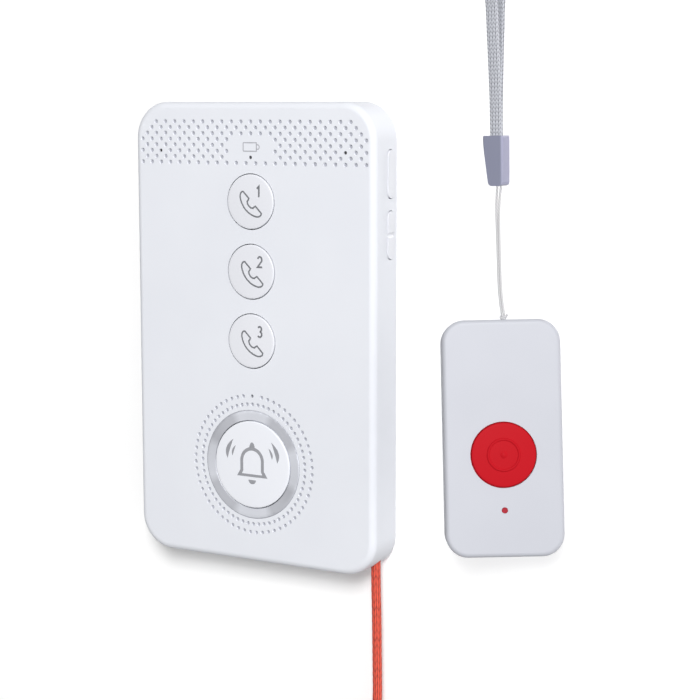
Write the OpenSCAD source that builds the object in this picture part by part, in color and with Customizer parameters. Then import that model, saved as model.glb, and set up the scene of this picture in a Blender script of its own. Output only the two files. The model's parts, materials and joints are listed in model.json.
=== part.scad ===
// Wall-mounted emergency call station with a pull cord, and its portable call pendant on a lanyard.
// The origin is the centre of the station's back face, on the wall: +X right, +Y into the wall, +Z up.

/* [Station housing] */
// Width of the station
station_w = 79; // [76:1:90]
// Height of the station
station_h = 130; // [128:1:142]
// Depth of the station, from the wall to its front face
station_d = 13; // [13:0.5:18]
// Corner radius of the outline, seen from the front
corner_r = 10.2; // [9.8:0.1:11]
// Radius of the rounded front edge
edge_r = 2; // [0.8:0.2:2.6]
// Radius of the rounded rear edge
rear_r = 1.2; // [0.4:0.1:1.2]
// Thickness of the side walls
wall = 1.8; // [1.6:0.1:2]
// Thickness of the side walls around the rear cover
rim_wall = 1.2; // [0.9:0.1:1.3]
// Thickness of the front wall
front_wall = 1.8; // [1.4:0.1:2.4]
// Thickness of the rear cover
cover_t = 1.6; // [1.2:0.1:2]
// Thickness of the sealing gasket
gasket_t = 0.8; // [0.5:0.1:1]

/* [Speaker grille] */
// Distance between neighbouring dimples of a row
grille_pitch = 3.2; // [3:0.05:3.25]
// Distance between rows of dimples
grille_row = 1.63; // [1.5:0.01:1.7]
// Number of rows
grille_rows = 8; // [6:1:8]
// Distance of the first row from the top edge
grille_top = 5.5; // [5:0.1:6.5]
// Width of a dimple at the surface
dimple_d = 1.3; // [0.8:0.05:1.4]
// Depth of a dimple
dimple_deep = 0.55; // [0.3:0.05:0.7]
// Diameter of the holes that go through
pinhole_d = 0.9; // [0.7:0.1:1.1]

/* [Call buttons] */
// Diameter of a call button
call_d = 15.2; // [13:0.1:16.4]
// Place of the first call button below the top edge, as a share of the station's height
call_top = 0.2115; // [0.21:0.0005:0.225]
// Step between call buttons, as a share of the station's height
call_pitch = 0.15; // [0.145:0.001:0.154]
// How far a call button presses in
call_travel = 0.6; // [0.3:0.1:0.8]
// Gap around every button and key
key_gap = 0.25; // [0.15:0.05:0.4]

/* [Bell button] */
// Diameter of the bell button's cap
bell_d = 24.9; // [22:0.1:26]
// Outer diameter of the bright ring around it
ring_d = 31.1; // [30:0.1:32]
// Place of the bell button above the bottom edge, as a share of the station's height
bell_bottom = 0.2177; // [0.21:0.0005:0.23]
// How far the bell button presses in
bell_travel = 1; // [0.5:0.1:1.1]
// Radius of the inner ring of dimples
halo_r = 17.2; // [16.8:0.1:17.6]
// Distance between the two rings of dimples
halo_step = 2.4; // [2:0.05:2.8]
// Number of dimples in each ring
halo_count = 60; // [40:1:64]

/* [Side keys] */
// Length of a side key
side_key_l = 13; // [12:0.5:14]
// Width of a side key
side_key_w = 3.4; // [3:0.1:3.6]
// Distance of the upper key's middle from the top edge
side_key_top = 19.4; // [19:0.1:20.5]
// Distance between the middles of the two keys
side_key_pitch = 16.5; // [16.2:0.1:17.5]
// How far the upper key presses in
side_key_travel = 0.5; // [0.3:0.1:0.6]

/* [Pull cord] */
// Diameter of the cord
cord_d = 2.7; // [2.4:0.1:2.7]
// Distance of the cord from the right side
cord_in = 4.1; // [4:0.1:4.4]
// Distance of the cord from the wall
cord_out = 4.8; // [4.8:0.1:5.2]
// How far the cord pulls out
pull_travel = 4; // [2:0.5:4.5]
// Outer radius of the coil's turns, at the cord's middle
coil_r = 21; // [20:0.5:23]
// Distance between turns and between layers of the coil
coil_pitch = 3.2; // [3.2:0.1:3.4]
// Turns of each layer
coil_turns = 3.854; // [3:0.1:4]

/* [Pendant] */
// Width of the pendant
pendant_w = 30.2; // [29.6:0.2:36]
// Height of the pendant
pendant_h = 60.4; // [59:0.2:68]
// Depth of the pendant
pendant_d = 10; // [10:0.5:12]
// Corner radius of the pendant's outline
pendant_r = 5.8; // [4.5:0.1:6.5]
// Radius of the pendant's rounded front edge
pendant_edge = 1.2; // [0.6:0.1:1.6]
// Thickness of the pendant's walls
pendant_wall = 1.4; // [1.2:0.1:1.5]
// Diameter of the pendant's button
alarm_d = 16.4; // [14:0.1:17]
// Distance of that button from the pendant's top edge
alarm_top = 34.4; // [33:0.1:36]
// How far that button presses in
alarm_travel = 0.6; // [0.3:0.1:0.8]
// Distance of the light below that button
light_drop = 14.1; // [13.5:0.1:15]

/* [Lanyard] */
// Length of the string between the knot and the cap
string_l = 32.8; // [31:0.2:36]
// Diameter of the string
string_d = 1; // [0.8:0.1:1.2]
// Height of the cap
cap_h = 12.7; // [11:0.1:14]
// Width of the strap
strap_w = 3.2; // [2.8:0.1:3.6]
// Thickness of the strap
strap_t = 1.1; // [0.8:0.1:1.2]

/* [Hidden] */
$fn = 64;
small = 0.01;

// Colours of the parts
white = [0.9, 0.91, 0.94];
grey = [0.6, 0.6, 0.66];
steel = [0.75, 0.76, 0.78];
black = [0.15, 0.15, 0.16];
green = [0.15, 0.4, 0.25];
red = [0.81, 0.14, 0.18];
orange = [0.89, 0.34, 0.25];

// Depths inside the station, counted from the wall
in_z = station_d - front_wall;
key_room = 3.6;
board_t = 1.2;
board_front = in_z - key_room;
board_back = board_front - board_t;
ledge_z = cover_t + gasket_t;
cover_gap = 0.15;
gasket_w = 1.4;
shell_lip = 0.3;

// Board outline
board_side = 2.1;
board_hw = station_w / 2 - wall - board_side;
board_top = station_h / 2 - 5;
board_low = -station_h / 2 + 13;
notch_x = 27.5;
post_r = 2;
post_side = 4.6;
post_top = 51;
low_post_side = 9.6;
low_post_up = 5;
post_places = [for (s = [-1, 1]) each [
  [s * (board_hw - post_side), station_h / 2 - post_top],
  [s * (board_hw - low_post_side), board_low + low_post_up]
]];

// Screws of the rear cover
screw_r = 0.85;
screw_head_r = 1.7;
screw_gap = 0.05;
screw_sunk = 0.1;
boss_r = 2.6;
screw_side = 8.5;
screw_top = 9;
low_screw_side = 15.5;
low_screw_up = 6.5;
screw_places = [for (s = [-1, 1]) each [
  [s * (station_w / 2 - screw_side), station_h / 2 - screw_top],
  [s * (station_w / 2 - low_screw_side), -station_h / 2 + low_screw_up]
]];

// Keyholes of the rear cover
keyhole_r = 3.75;
keyhole_slot = 4.2;
keyhole_rise = 6;
keyhole_top = station_h / 2 - 19;
keyhole_spacing = 60;

// Buttons and switches
flange_t = 0.8;
flange_out = 0.85;
flange_gap = 0.2;
stop_gap = 0.1;
switch_w = 4.5;
switch_h = 1.3;
switch_top = board_front + switch_h;
cap_soft = 0.35;
call_y = [for (i = [0:2]) station_h * (0.5 - call_top - i * call_pitch)];
bell_y = station_h * (bell_bottom - 0.5);
bell_flange_d = bell_d + 3.1;
ring_seat = 0.9;
ring_proud = 0.15;
ring_gap = 0.15;

// Side keys, counted from the station's middle
key_in = station_w / 2 - wall;
side_key_z = 4.4;
side_key_y = [station_h / 2 - side_key_top, station_h / 2 - side_key_top - side_key_pitch];
side_flange_t = 0.8;
side_flange_l = 0.8;
side_proud = 0.3;
rocker_gap = 0.5;
side_face = key_in - flange_gap - side_flange_t;
side_switch_x = side_face - side_key_travel - stop_gap;
side_switch_l = 5;
side_switch_d = 3.9;
side_switch_half = 1.6;
pivot_r = 0.6;
pivot_x = side_face + 0.4;
ear_t = 1;
ear_half = 1.3;
ear_low = side_key_z + side_key_w / 2 + key_gap;

// Grille limits
grille_half = 11.5 * grille_pitch;
icon_half = 7.9;
row_y = [for (i = [0:grille_rows - 1]) station_h / 2 - grille_top - i * grille_row];
lamp_row = 5;
lamp_x = 9.5 * grille_pitch;
status_row = grille_rows - 2;
lamp_places = [[0, row_y[status_row]], [-lamp_x, row_y[lamp_row]], [lamp_x, row_y[lamp_row]]];
mic_y = bell_y + halo_r + halo_step;

// Other pieces inside the station
inner_gap = 2;
speaker_right = 4.6;
speaker_top = 6;
speaker_h = 11.6;
lamp_clear = 3;
speaker_x = [max(-station_w / 2 + screw_side + boss_r + inner_gap, -lamp_x + lamp_clear), -speaker_right];
speaker_y = [station_h / 2 - speaker_top - speaker_h, station_h / 2 - speaker_top];
buzzer_r = 5.6;
buzzer_side = 24;
buzzer_at = [station_w / 2 - buzzer_side, station_h / 2 - speaker_top - speaker_h / 2];
led_h = 0.6;
collar_out = 0.45;
battery_t = 4.4;
battery_side = 14.5;
battery_r = 2;
battery_y = [keyhole_top - keyhole_spacing + keyhole_rise + 5, keyhole_top - keyhole_r - 5.25];
radio_t = 2.4;
radio_x = [-board_hw + 5.6, -8];
radio_y = [bell_y - 8, bell_y + 14];
sim_t = 1.5;
sim_x = [8, 23];
sim_y = [bell_y - 6, bell_y + 7];
socket_x = -12;
socket_w = 8.9;
socket_h = 3.2;
socket_l = 7.4;
socket_z = board_back - socket_h / 2;
socket_low = -station_h / 2 + 0.3;

// Pull mechanism, counted from the station's middle
cord_x = station_w / 2 - cord_in;
bush_r = 2.3;
bush_bore_r = cord_d / 2 + 0.2;
bush_top = -station_h / 2 + 10.5;
spring_l = 7;
spring_wire = 0.4;
spring_r = 1.75;
spring_turns = 5;
slider_r = 2.1;
slider_l = 9;
slider_low = bush_top + spring_l;
guide_gap = 0.1;
guide_low = slider_low + 2;
guide_l = 5;
guide_wall = 0.8;
guide_right = station_w / 2 - rim_wall - 2 * cover_gap - gasket_w - guide_gap;
pull_switch_y = slider_low + slider_l + flange_gap;

// Cord route below the station: steps aside from the cord's exit, and heights from the station's lower edge
coil_layer = -coil_pitch;
coil_start_a = 75;
coil_half = 0.5;
coil_all = 2 * coil_turns + coil_half;
low_edge = -station_h / 2;
coil_drop = 67;
coil_aside = 3.2;
coil_at = [cord_x + coil_aside, -cord_out, low_edge - coil_drop];
cord_route = [for (p = [[0, 10], [0, 2], [0.1, -5], [0.3, -12], [0.4, -19], [0.5, -26], [0.6, -33], [0.7, -39],
  [1.4, -42.1], [3.3, -44.6]]) [cord_x + p[0], -cord_out, low_edge + p[1]]];
knob_drop = 11;
knob_h = 20;
knob_r = 4.5;

// Pendant, in its own frame: x right, y up, z to its front, from the middle of its back
pendant_at = [80.1, -18.5, -20.6];
pendant_turn = 29.5;
pendant_lean = 1.3;
pendant_tilt = 9;
pendant_in = pendant_d - pendant_wall;
pendant_rim = 0.9;
pendant_cover_t = 1.2;
pendant_board_t = 0.8;
pendant_room = 3;
pendant_board_front = pendant_in - pendant_room;
pendant_board_back = pendant_board_front - pendant_board_t;
pendant_board_hw = pendant_w / 2 - pendant_wall - 0.5;
pendant_board_hh = pendant_h / 2 - 7.5;
pendant_post_r = 1.4;
pendant_posts = [for (sx = [-1, 1], sy = [-1, 1]) [sx * (pendant_w / 2 - 4), sy * (pendant_h / 2 - 11.5)]];
pendant_boss_r = 1.9;
pendant_screw_places = [[-9.5, pendant_h / 2 - 4.5], [9.5, -pendant_h / 2 + 4.5]];
pendant_screw_r = 0.7;
pendant_screw_head_r = 1.3;
alarm_y = pendant_h / 2 - alarm_top;
light_y = alarm_y - light_drop;
light_r = 0.75;
cell_r = 10;
cell_t = 3.2;
cell_y = 6;
cell_gap = 0.15;
holder_wall = 1.2;
string_hole_r = 0.65;
knot_r = 0.85;
knot_x = 1;
knot_y = pendant_h / 2 + knot_r;
string_z = pendant_d / 2;
// Place in the room of a point of the pendant
function pendant_point(p) = let (
  y = p[1] * cos(pendant_tilt) + (p[2] - pendant_d / 2) * sin(pendant_tilt),
  z = (p[2] - pendant_d / 2) * cos(pendant_tilt) - p[1] * sin(pendant_tilt),
  a = p[0] * cos(pendant_lean) - y * sin(pendant_lean),
  b = p[0] * sin(pendant_lean) + y * cos(pendant_lean)
) pendant_at + [a * cos(pendant_turn) + z * sin(pendant_turn), a * sin(pendant_turn) - z * cos(pendant_turn), b];
// The string leaves the knot, bows a little to the left and goes up into the cap
string_foot = pendant_point([knot_x, knot_y + knot_r - 0.1, string_z]);
string_drift = [-1.25, -0.4, string_l];
string_bow = 0.72;
string_steps = 12;
string_route = [for (k = [0:string_steps]) let (s = k / string_steps)
  string_foot + s * string_drift - [string_bow * (1 - pow(2 * s - 1, 4)), 0, 0]];
cap_foot = string_foot + string_drift;
lanyard_turn = 0;
cap_d = 4.8;
cap_round = 0.9;
cap_edge = 0.4;
cap_corner = 0.7;
// Outline of the cap seen from the front, from the string's middle: it widens to the left
cap_low_x = [-2.1, 1.8];
cap_top_x = [-3.6, 2.05];
// Route of the strap above the cap: x, rise above the cap, z from the string's plane
strap_mid = -0.4;
strap_half = [[0, 0, 0.6], [0.02, 5, 0.62], [0.1, 12, 0.75], [0.25, 19, 0.95], [0.42, 26, 1.15], [0.62, 33, 1.35],
  [0.7, 36.5, 1.9], [0.6, 39.3, 2.3], [0.35, 41, 1.5]];
strap_last = len(strap_half) - 1;
strap_route = concat(
  [for (p = strap_half) [strap_mid - p[0], p[1], p[2]]], [[strap_mid, 41.6, 0]],
  [for (k = [strap_last:-1:0]) let (p = strap_half[k]) [strap_mid + p[0], p[1], -p[2]]]
);

// Turns a shape drawn as seen from the front, with z out of the wall, to stand on the wall
module on_wall() {
  rotate([90, 0, 0]) children();
}

// The same for a shape of the pendant
module on_pendant() {
  translate(pendant_at) rotate([0, 0, pendant_turn]) rotate([90, 0, 0]) rotate([0, 0, pendant_lean])
    rotate([-pendant_tilt, 0, 0]) translate([0, 0, -pendant_d / 2]) children();
}

// The same for the cap and strap, which hang straight above the string
module on_lanyard() {
  translate(cap_foot) rotate([0, 0, lanyard_turn]) rotate([90, 0, 0]) rotate([0, 0, pendant_lean]) children();
}

// A rectangle with round corners
module outline(w, h, r) {
  square([w - 2 * r, h], center = true);
  square([w, h - 2 * r], center = true);
  for (sx = [-1, 1], sy = [-1, 1]) translate([sx * (w / 2 - r), sy * (h / 2 - r)]) circle(r);
}

// A round rod along that outline, with its middle line at the given height
module edge_round(w, h, r, z, e) {
  for (s = [-1, 1]) {
    translate([s * (w / 2 - e), h / 2 - r, z]) rotate([90, 0, 0]) linear_extrude(h - 2 * r) circle(e);
    translate([w / 2 - r, s * (h / 2 - e), z]) rotate([0, -90, 0]) linear_extrude(w - 2 * r) circle(e);
  }
  for (i = [0:3]) {
    sx = (i == 0 || i == 3) ? 1 : -1;
    sy = i < 2 ? 1 : -1;
    translate([sx * (w / 2 - r), sy * (h / 2 - r), z]) rotate([0, 0, i * 90])
      rotate_extrude(angle = 90) translate([r - e, 0]) circle(e);
  }
}

// A slab of that outline whose front edge is rounded, and its rear edge too where a radius is given
module rounded_slab(w, h, r, d, e, rear = 0) {
  translate([0, 0, rear]) linear_extrude(d - e - rear) outline(w, h, r);
  linear_extrude(d) outline(w - 2 * e, h - 2 * e, r - e);
  edge_round(w, h, r, d - e, e);
  if (rear > 0) {
    linear_extrude(d / 2) outline(w - 2 * rear, h - 2 * rear, r - rear);
    edge_round(w, h, r, rear, rear);
  }
}

// A block between two heights
module block(x, y, low, high) {
  translate([x[0], y[0], low]) cube([x[1] - x[0], y[1] - y[0], high - low]);
}

// A round post between two heights
module post(at, r, low, high) {
  translate([at[0], at[1], low]) cylinder(r = r, h = high - low);
}

// A slot with round ends, long side along y, drilled along z
module pill(l, w, h) {
  linear_extrude(h) {
    square([w, l - w], center = true);
    for (s = [-1, 1]) translate([0, s * (l - w) / 2]) circle(w / 2);
  }
}

// A conical dimple in a front face at height z
module dimple(at, z, d) {
  translate([at[0], at[1], z - dimple_deep]) cylinder(r1 = d / 4, r2 = d / 2, h = dimple_deep);
  translate([at[0], at[1], z]) cylinder(r = d / 2, h = 1);
}

// Rim and crown of a round button cap, from its side to its middle
function cap_profile(d, rim, crown, soft) = let (x0 = d / 2 - soft) concat(
  [for (a = [0:22.5:90]) [x0 + soft * cos(a), rim + soft * sin(a)]],
  [for (k = [5:-1:0]) [x0 * k / 6, rim + soft + crown * (1 - k * k / 36)]]
);

// A crowned round button with a flange and a stem below it
module crowned_button(d, flange_d, stem_low, flange_low, rim, crown) {
  stem_r = 1.5;
  rotate_extrude() polygon(concat(
    [[0, stem_low], [stem_r, stem_low], [stem_r, flange_low], [flange_d / 2, flange_low],
     [flange_d / 2, flange_low + flange_t], [d / 2, flange_low + flange_t]],
    cap_profile(d, rim, crown, cap_soft)
  ));
}

// A tact switch standing on a board at height z
module tact_switch(at, z) {
  translate([at[0] - switch_w / 2, at[1] - switch_w / 2, z]) cube([switch_w, switch_w, switch_h - 0.3]);
  post(at, 1.1, z + switch_h - 0.3, z + switch_h);
}

// A countersunk screw from the back of a cover at z = 0
module cover_screw(at, r, head_r, l) {
  translate([at[0], at[1], screw_sunk]) cylinder(r1 = head_r, r2 = r, h = head_r - r);
  post(at, r, screw_sunk, l);
}

// Vector helpers and a tube of any section along a list of points
function unit(v) = v / norm(v);
function flat_to(v, t) = unit(v - (v * t) * t);
function tangent(p, i) = unit(p[min(i + 1, len(p) - 1)] - p[max(i - 1, 0)]);
function ring(p, i, section, ref) =
  let (t = tangent(p, i), n = flat_to(ref, t), b = cross(t, n)) [for (s = section) p[i] + s[0] * n + s[1] * b];
function round_section(r, sides) = [for (k = [0:sides - 1]) r * [cos(360 * k / sides), sin(360 * k / sides)]];
function flat_section(w, t) = [[w, t] / 2, [-w, t] / 2, [-w, -t] / 2, [w, -t] / 2];

module sweep(p, section, ref) {
  m = len(section);
  last = (len(p) - 1) * m;
  points = [for (i = [0:len(p) - 1]) each ring(p, i, section, ref)];
  sides = [for (i = [0:len(p) - 2], k = [0:m - 1]) let (a = i * m + k, b = i * m + (k + 1) % m)
    each [[a, a + m, b], [b, a + m, b + m]]];
  ends = [for (k = [1:m - 2]) each [[0, k, k + 1], [last, last + k + 1, last + k]]];
  polyhedron(points = points, faces = concat(sides, ends), convexity = 10);
}

// Points of the coil: it spirals in, climbs to the front layer in half a turn, and spirals out
function coil_reach(t) = coil_r - coil_pitch * (t < coil_turns ? t
  : t > coil_turns + coil_half ? coil_all - t : coil_turns);
function coil_rise(t) = let (k = (t - coil_turns) / coil_half) k <= 0 ? 0 : k >= 1 ? 1 : (1 - cos(180 * k)) / 2;
function coil_point(t) = let (a = coil_start_a - 360 * t, r = coil_reach(t))
  coil_at + [r * cos(a), coil_layer * coil_rise(t), r * sin(a)];
coil_rings = 24;
coil_steps = round(coil_all * coil_rings);
coil_loops = [for (i = [0:coil_steps]) coil_point(i * coil_all / coil_steps)];
function coil_heading(t) = let (a = coil_start_a - 360 * t) [sin(a), 0, -cos(a)];
coil_path = concat([coil_loops[0] - cord_d * coil_heading(0)], coil_loops,
  [coil_loops[coil_steps] + cord_d * coil_heading(coil_all)]);
coil_gap = min([for (i = [0:coil_steps - coil_rings / 2], j = [i + coil_rings / 2:coil_steps])
  norm(coil_loops[i] - coil_loops[j])]) - cord_d;
echo(least_gap_between_turns_of_the_coil = coil_gap);

// Points of the return spring around the cord
spring_steps = spring_turns * 8;
spring_path = [for (i = [0:spring_steps]) let (a = 45 * i)
  [cord_x + spring_r * cos(a), -cord_out + spring_r * sin(a),
   bush_top + spring_wire / 2 + (spring_l - spring_wire) * i / spring_steps]];

// Whether the grille has a dimple at column x of row i
function grille_open(x, i) = abs(x) <= grille_half - max(0, 3 - i) * grille_pitch / 2 + small
  && !(i >= 3 && i < grille_rows - 1 && abs(x) < icon_half)
  && !(i == lamp_row && abs(abs(x) - lamp_x) < small);

module grille_dimples() {
  for (i = [0:grille_rows - 1], k = [-12:12]) {
    x = (k + (i % 2 == 0 ? 0 : 0.5)) * grille_pitch;
    if (grille_open(x, i)) dimple([x, row_y[i]], station_d, dimple_d);
  }
}

module halo_dimples() {
  step = 360 / halo_count;
  for (k = [0:halo_count - 1], j = [0, 1]) {
    a = 90 + (k + j / 2) * step;
    r = halo_r + j * halo_step;
    if (j == 0 || (k > 0 && k < halo_count - 1))
      dimple([r * cos(a), bell_y + r * sin(a)], station_d, dimple_d * 0.9);
  }
}

module station_block() {
  rounded_slab(station_w, station_h, corner_r, station_d, edge_r, rear_r);
}

// Space inside the housing, its rear rebate and every hole in its front and sides
module shell_openings() {
  translate([0, 0, -1]) linear_extrude(in_z + 1)
    outline(station_w - 2 * wall, station_h - 2 * wall, corner_r - wall);
  translate([0, 0, -1]) linear_extrude(ledge_z + 1)
    outline(station_w - 2 * rim_wall, station_h - 2 * rim_wall, corner_r - rim_wall);
  translate([0, 0, -1]) linear_extrude(1 + shell_lip) square([station_w + 2, station_h + 2], center = true);
  for (y = call_y) post([0, y], call_d / 2 + key_gap, in_z - 1, station_d + 1);
  post([0, bell_y], bell_d / 2 + key_gap, in_z - 1, station_d + 1);
  post([0, bell_y], ring_d / 2 + screw_gap, station_d - ring_seat, station_d + 1);
  for (p = lamp_places) post(p, pinhole_d / 2 + screw_gap, in_z - 1, station_d + 1);
  post([0, mic_y], pinhole_d / 2, in_z - 1, station_d + 1);
  for (y = side_key_y) translate([key_in - 1, y, side_key_z]) rotate([0, 90, 0])
    pill(side_key_l + 2 * key_gap, side_key_w + 2 * key_gap, wall + 2);
  translate([cord_x, bush_top, cord_out]) rotate([90, 0, 0]) cylinder(r = bush_r + screw_gap, h = 20);
  translate([socket_x, -station_h / 2 + wall + 1, socket_z]) rotate([90, 90, 0])
    pill(socket_w + 2 * key_gap, socket_h + 2 * key_gap, wall + 2);
  grille_dimples();
  halo_dimples();
}

module front_shell() {
  color(white) on_wall() difference() {
    union() {
      difference() {
        station_block();
        shell_openings();
      }
      for (p = screw_places) post(p, boss_r, cover_t, in_z + small);
      for (p = post_places) post(p, post_r, board_front, in_z + small);
      block([pivot_x - ear_half, key_in + small], [side_key_y[1] - ear_half, side_key_y[1] + ear_half],
        ear_low, ear_low + ear_t);
    }
    for (p = screw_places) post(p, screw_r + screw_gap, cover_t - 1, board_front + 1);
    post([pivot_x, side_key_y[1]], pivot_r + screw_gap, ear_low - 1, ear_low + ear_t + 1);
  }
}

module rear_cover() {
  hang = [for (i = [0, 1]) keyhole_top - i * keyhole_spacing];
  inset = rim_wall + cover_gap;
  sink = screw_head_r - screw_r + 0.1;
  color(white) on_wall() difference() {
    union() {
      linear_extrude(cover_t) outline(station_w - 2 * inset, station_h - 2 * inset, corner_r - inset);
      for (p = post_places) post(p, post_r, cover_t - small, board_back);
      block([cord_x - slider_r - guide_wall, guide_right], [guide_low, guide_low + guide_l],
        cover_t - small, cord_out + slider_r + guide_wall);
    }
    for (y = hang) {
      post([0, y], keyhole_r, -1, cover_t + 1);
      block([-keyhole_slot / 2, keyhole_slot / 2], [y, y + keyhole_rise], -1, cover_t + 1);
      post([0, y + keyhole_rise], keyhole_slot / 2, -1, cover_t + 1);
    }
    for (p = screw_places) {
      post(p, screw_r + screw_gap, -1, cover_t + 1);
      translate([p[0], p[1], -small])
        cylinder(r1 = screw_head_r + screw_gap + 0.1, r2 = screw_r + screw_gap, h = sink);
    }
    translate([cord_x, guide_low - 1, cord_out]) rotate([-90, 0, 0])
      cylinder(r = slider_r + guide_gap, h = guide_l + 2);
  }
}

module housing_gasket() {
  inset = rim_wall + 2 * cover_gap;
  inner = inset + gasket_w;
  color(black) on_wall() translate([0, 0, cover_t]) linear_extrude(gasket_t) difference() {
    outline(station_w - 2 * inset, station_h - 2 * inset, corner_r - inset);
    outline(station_w - 2 * inner, station_h - 2 * inner, corner_r - inner);
  }
}

module cover_screws() {
  color(steel) on_wall() for (p = screw_places) cover_screw(p, screw_r, screw_head_r, board_back);
}

// A call button and the stem that meets its switch
module call_button(y) {
  low = in_z - flange_gap - flange_t;
  color(white) on_wall() translate([0, y, 0])
    crowned_button(call_d, call_d + 2 * flange_out, switch_top + call_travel + stop_gap, low, station_d, 0.15);
}

module bell_ring() {
  inner = bell_d / 2 + ring_gap;
  outer = ring_d / 2;
  low = station_d - ring_seat;
  high = station_d + ring_proud;
  color(steel) on_wall() translate([0, bell_y, 0]) rotate_extrude()
    polygon([[inner, low], [outer, low], [outer, station_d], [outer - 0.25, high], [inner + 0.15, high - 0.05],
      [inner, station_d - 0.05]]);
}

module bell_button() {
  low = in_z - 2 * flange_gap - flange_t;
  color(white) on_wall() translate([0, bell_y, 0])
    crowned_button(bell_d, bell_flange_d, switch_top + bell_travel + stop_gap, low + small, station_d, 0.3);
}

// A side key: a round-ended bar through the wall with stops behind it
module side_key(y, stop, dip) {
  color(white) on_wall() difference() {
    union() {
      translate([side_face, y, side_key_z]) rotate([0, 90, 0])
        pill(side_key_l, side_key_w, station_w / 2 + side_proud - side_face);
      block([side_face, key_in - stop],
        [y - side_key_l / 2 - side_flange_l, y + side_key_l / 2 + side_flange_l],
        side_key_z - side_key_w / 2 + 0.3, side_key_z + side_key_w / 2 - 0.3);
      if (dip) post([pivot_x, y], pivot_r, side_key_z, side_key_z + side_key_w / 2 + key_gap + ear_t);
    }
    if (dip) translate([station_w / 2 + side_proud + 0.7, y, side_key_z - side_key_w])
      cylinder(r = 1, h = 2 * side_key_w);
  }
}

module upper_side_key() {
  side_key(side_key_y[0], flange_gap, false);
}

module lower_side_key() {
  side_key(side_key_y[1], rocker_gap, true);
}

module main_board() {
  color(green) on_wall() difference() {
    union() {
      block([-board_hw, board_hw], [board_low, board_top], board_back, board_front);
      block([socket_x - socket_w / 2 - 1.5, socket_x + socket_w / 2 + 1.5], [socket_low + 2, board_low + small],
        board_back, board_front);
    }
    for (s = [-1, 1]) translate([s * (notch_x + 10), board_top, board_back]) cube([20, 16, 6], center = true);
    block([cord_x - slider_r - guide_wall - 0.5, station_w], [-station_h, pull_switch_y - 0.1],
      board_back - 1, board_front + 1);
  }
}

module call_switches() {
  color(black) on_wall() for (y = call_y) tact_switch([0, y], board_front);
}

module bell_switch() {
  color(black) on_wall() tact_switch([0, bell_y], board_front);
}

module side_switches() {
  places = [side_key_y[0], side_key_y[1] - side_key_l / 3, side_key_y[1] + side_key_l / 3];
  color(black) on_wall() for (y = places)
    block([side_switch_x - side_switch_d, side_switch_x], [y - side_switch_l / 2, y + side_switch_l / 2],
      side_key_z - side_switch_half, board_back);
}

module pull_switch() {
  tip = 0.6;
  color(black) on_wall() {
    block([cord_x - 3, cord_x + 1.2], [pull_switch_y + tip, pull_switch_y + 6], cord_out - 1.9, board_back);
    block([cord_x - 0.8, cord_x + 0.8], [pull_switch_y, pull_switch_y + tip + small],
      cord_out - 0.8, cord_out + 0.8);
  }
}

module speaker() {
  mid = [(speaker_x[0] + speaker_x[1]) / 2, (speaker_y[0] + speaker_y[1]) / 2];
  color(black) on_wall() difference() {
    block(speaker_x, speaker_y, board_front, in_z);
    post(mid, 4.6, in_z - 0.8, in_z + 1);
    for (x = [speaker_x[0] + 2.9, speaker_x[1] - 2.9]) post([x, mid[1]], 1.2, in_z - 0.8, in_z + 1);
  }
}

module alarm_buzzer() {
  color(black) on_wall() difference() {
    post(buzzer_at, buzzer_r, board_front, in_z);
    post(buzzer_at, buzzer_r / 5, in_z - 1, in_z + 1);
  }
}

module microphone() {
  color(steel) on_wall() difference() {
    post([0, mic_y], 2, board_front, in_z);
    post([0, mic_y], 0.5, in_z - 0.6, in_z + 1);
  }
}

module status_leds() {
  color(white) on_wall() for (p = lamp_places)
    block([p[0] - 0.8, p[0] + 0.8], [p[1] - 0.4, p[1] + 0.4], board_front, board_front + led_h);
}

module light_pipes() {
  color(black) on_wall() for (p = lamp_places) {
    post(p, pinhole_d / 2, board_front + led_h, station_d - 0.35);
    post(p, pinhole_d / 2 + collar_out, in_z - 0.8, in_z);
  }
}

module battery_pack() {
  color(grey) on_wall() translate([0, (battery_y[0] + battery_y[1]) / 2, board_back - battery_t])
    linear_extrude(battery_t) outline(station_w - 2 * battery_side, battery_y[1] - battery_y[0], battery_r);
}

module radio_module() {
  color(steel) on_wall() block(radio_x, radio_y, board_back - radio_t, board_back);
}

// A flat card holder, open at its lower end
module sim_holder() {
  skin = 0.4;
  color(steel) on_wall() difference() {
    block(sim_x, sim_y, board_back - sim_t, board_back);
    block([sim_x[0] + 1, sim_x[1] - 1], [sim_y[0] - 1, sim_y[1] - 1],
      board_back - sim_t + skin, board_back - skin);
  }
}

module charge_socket() {
  tongue = 0.7;
  color(steel) on_wall() difference() {
    translate([socket_x, socket_low + socket_l, socket_z]) rotate([90, 90, 0])
      pill(socket_w, socket_h, socket_l);
    difference() {
      translate([socket_x, socket_low + socket_l - 1, socket_z]) rotate([90, 90, 0])
        pill(socket_w - 0.6, socket_h - 0.6, socket_l);
      block([socket_x - 3.3, socket_x + 3.3], [socket_low + 0.6, socket_low + socket_l],
        socket_z - tongue / 2, socket_z + tongue / 2);
    }
  }
}

module cord_bush() {
  color(grey) on_wall() difference() {
    intersection() {
      translate([cord_x, bush_top, cord_out]) rotate([90, 0, 0]) cylinder(r = bush_r, h = 20);
      station_block();
    }
    translate([cord_x, bush_top + 1, cord_out]) rotate([90, 0, 0]) cylinder(r = bush_bore_r, h = 22);
  }
}

module pull_slider() {
  color(grey) translate([cord_x, -cord_out, slider_low]) cylinder(r = slider_r, h = slider_l);
}

module pull_spring() {
  color(steel) sweep(spring_path, round_section(spring_wire / 2, 6), [0, 0, 1]);
}

module pull_cord() {
  ends = [coil_path[0] - coil_heading(0), coil_path[0]];
  points = concat([[cord_x, -cord_out, slider_low]], cord_route, ends);
  color(orange) sweep(points, round_section(cord_d / 2, 8), [0, 1, 0]);
}

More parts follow.
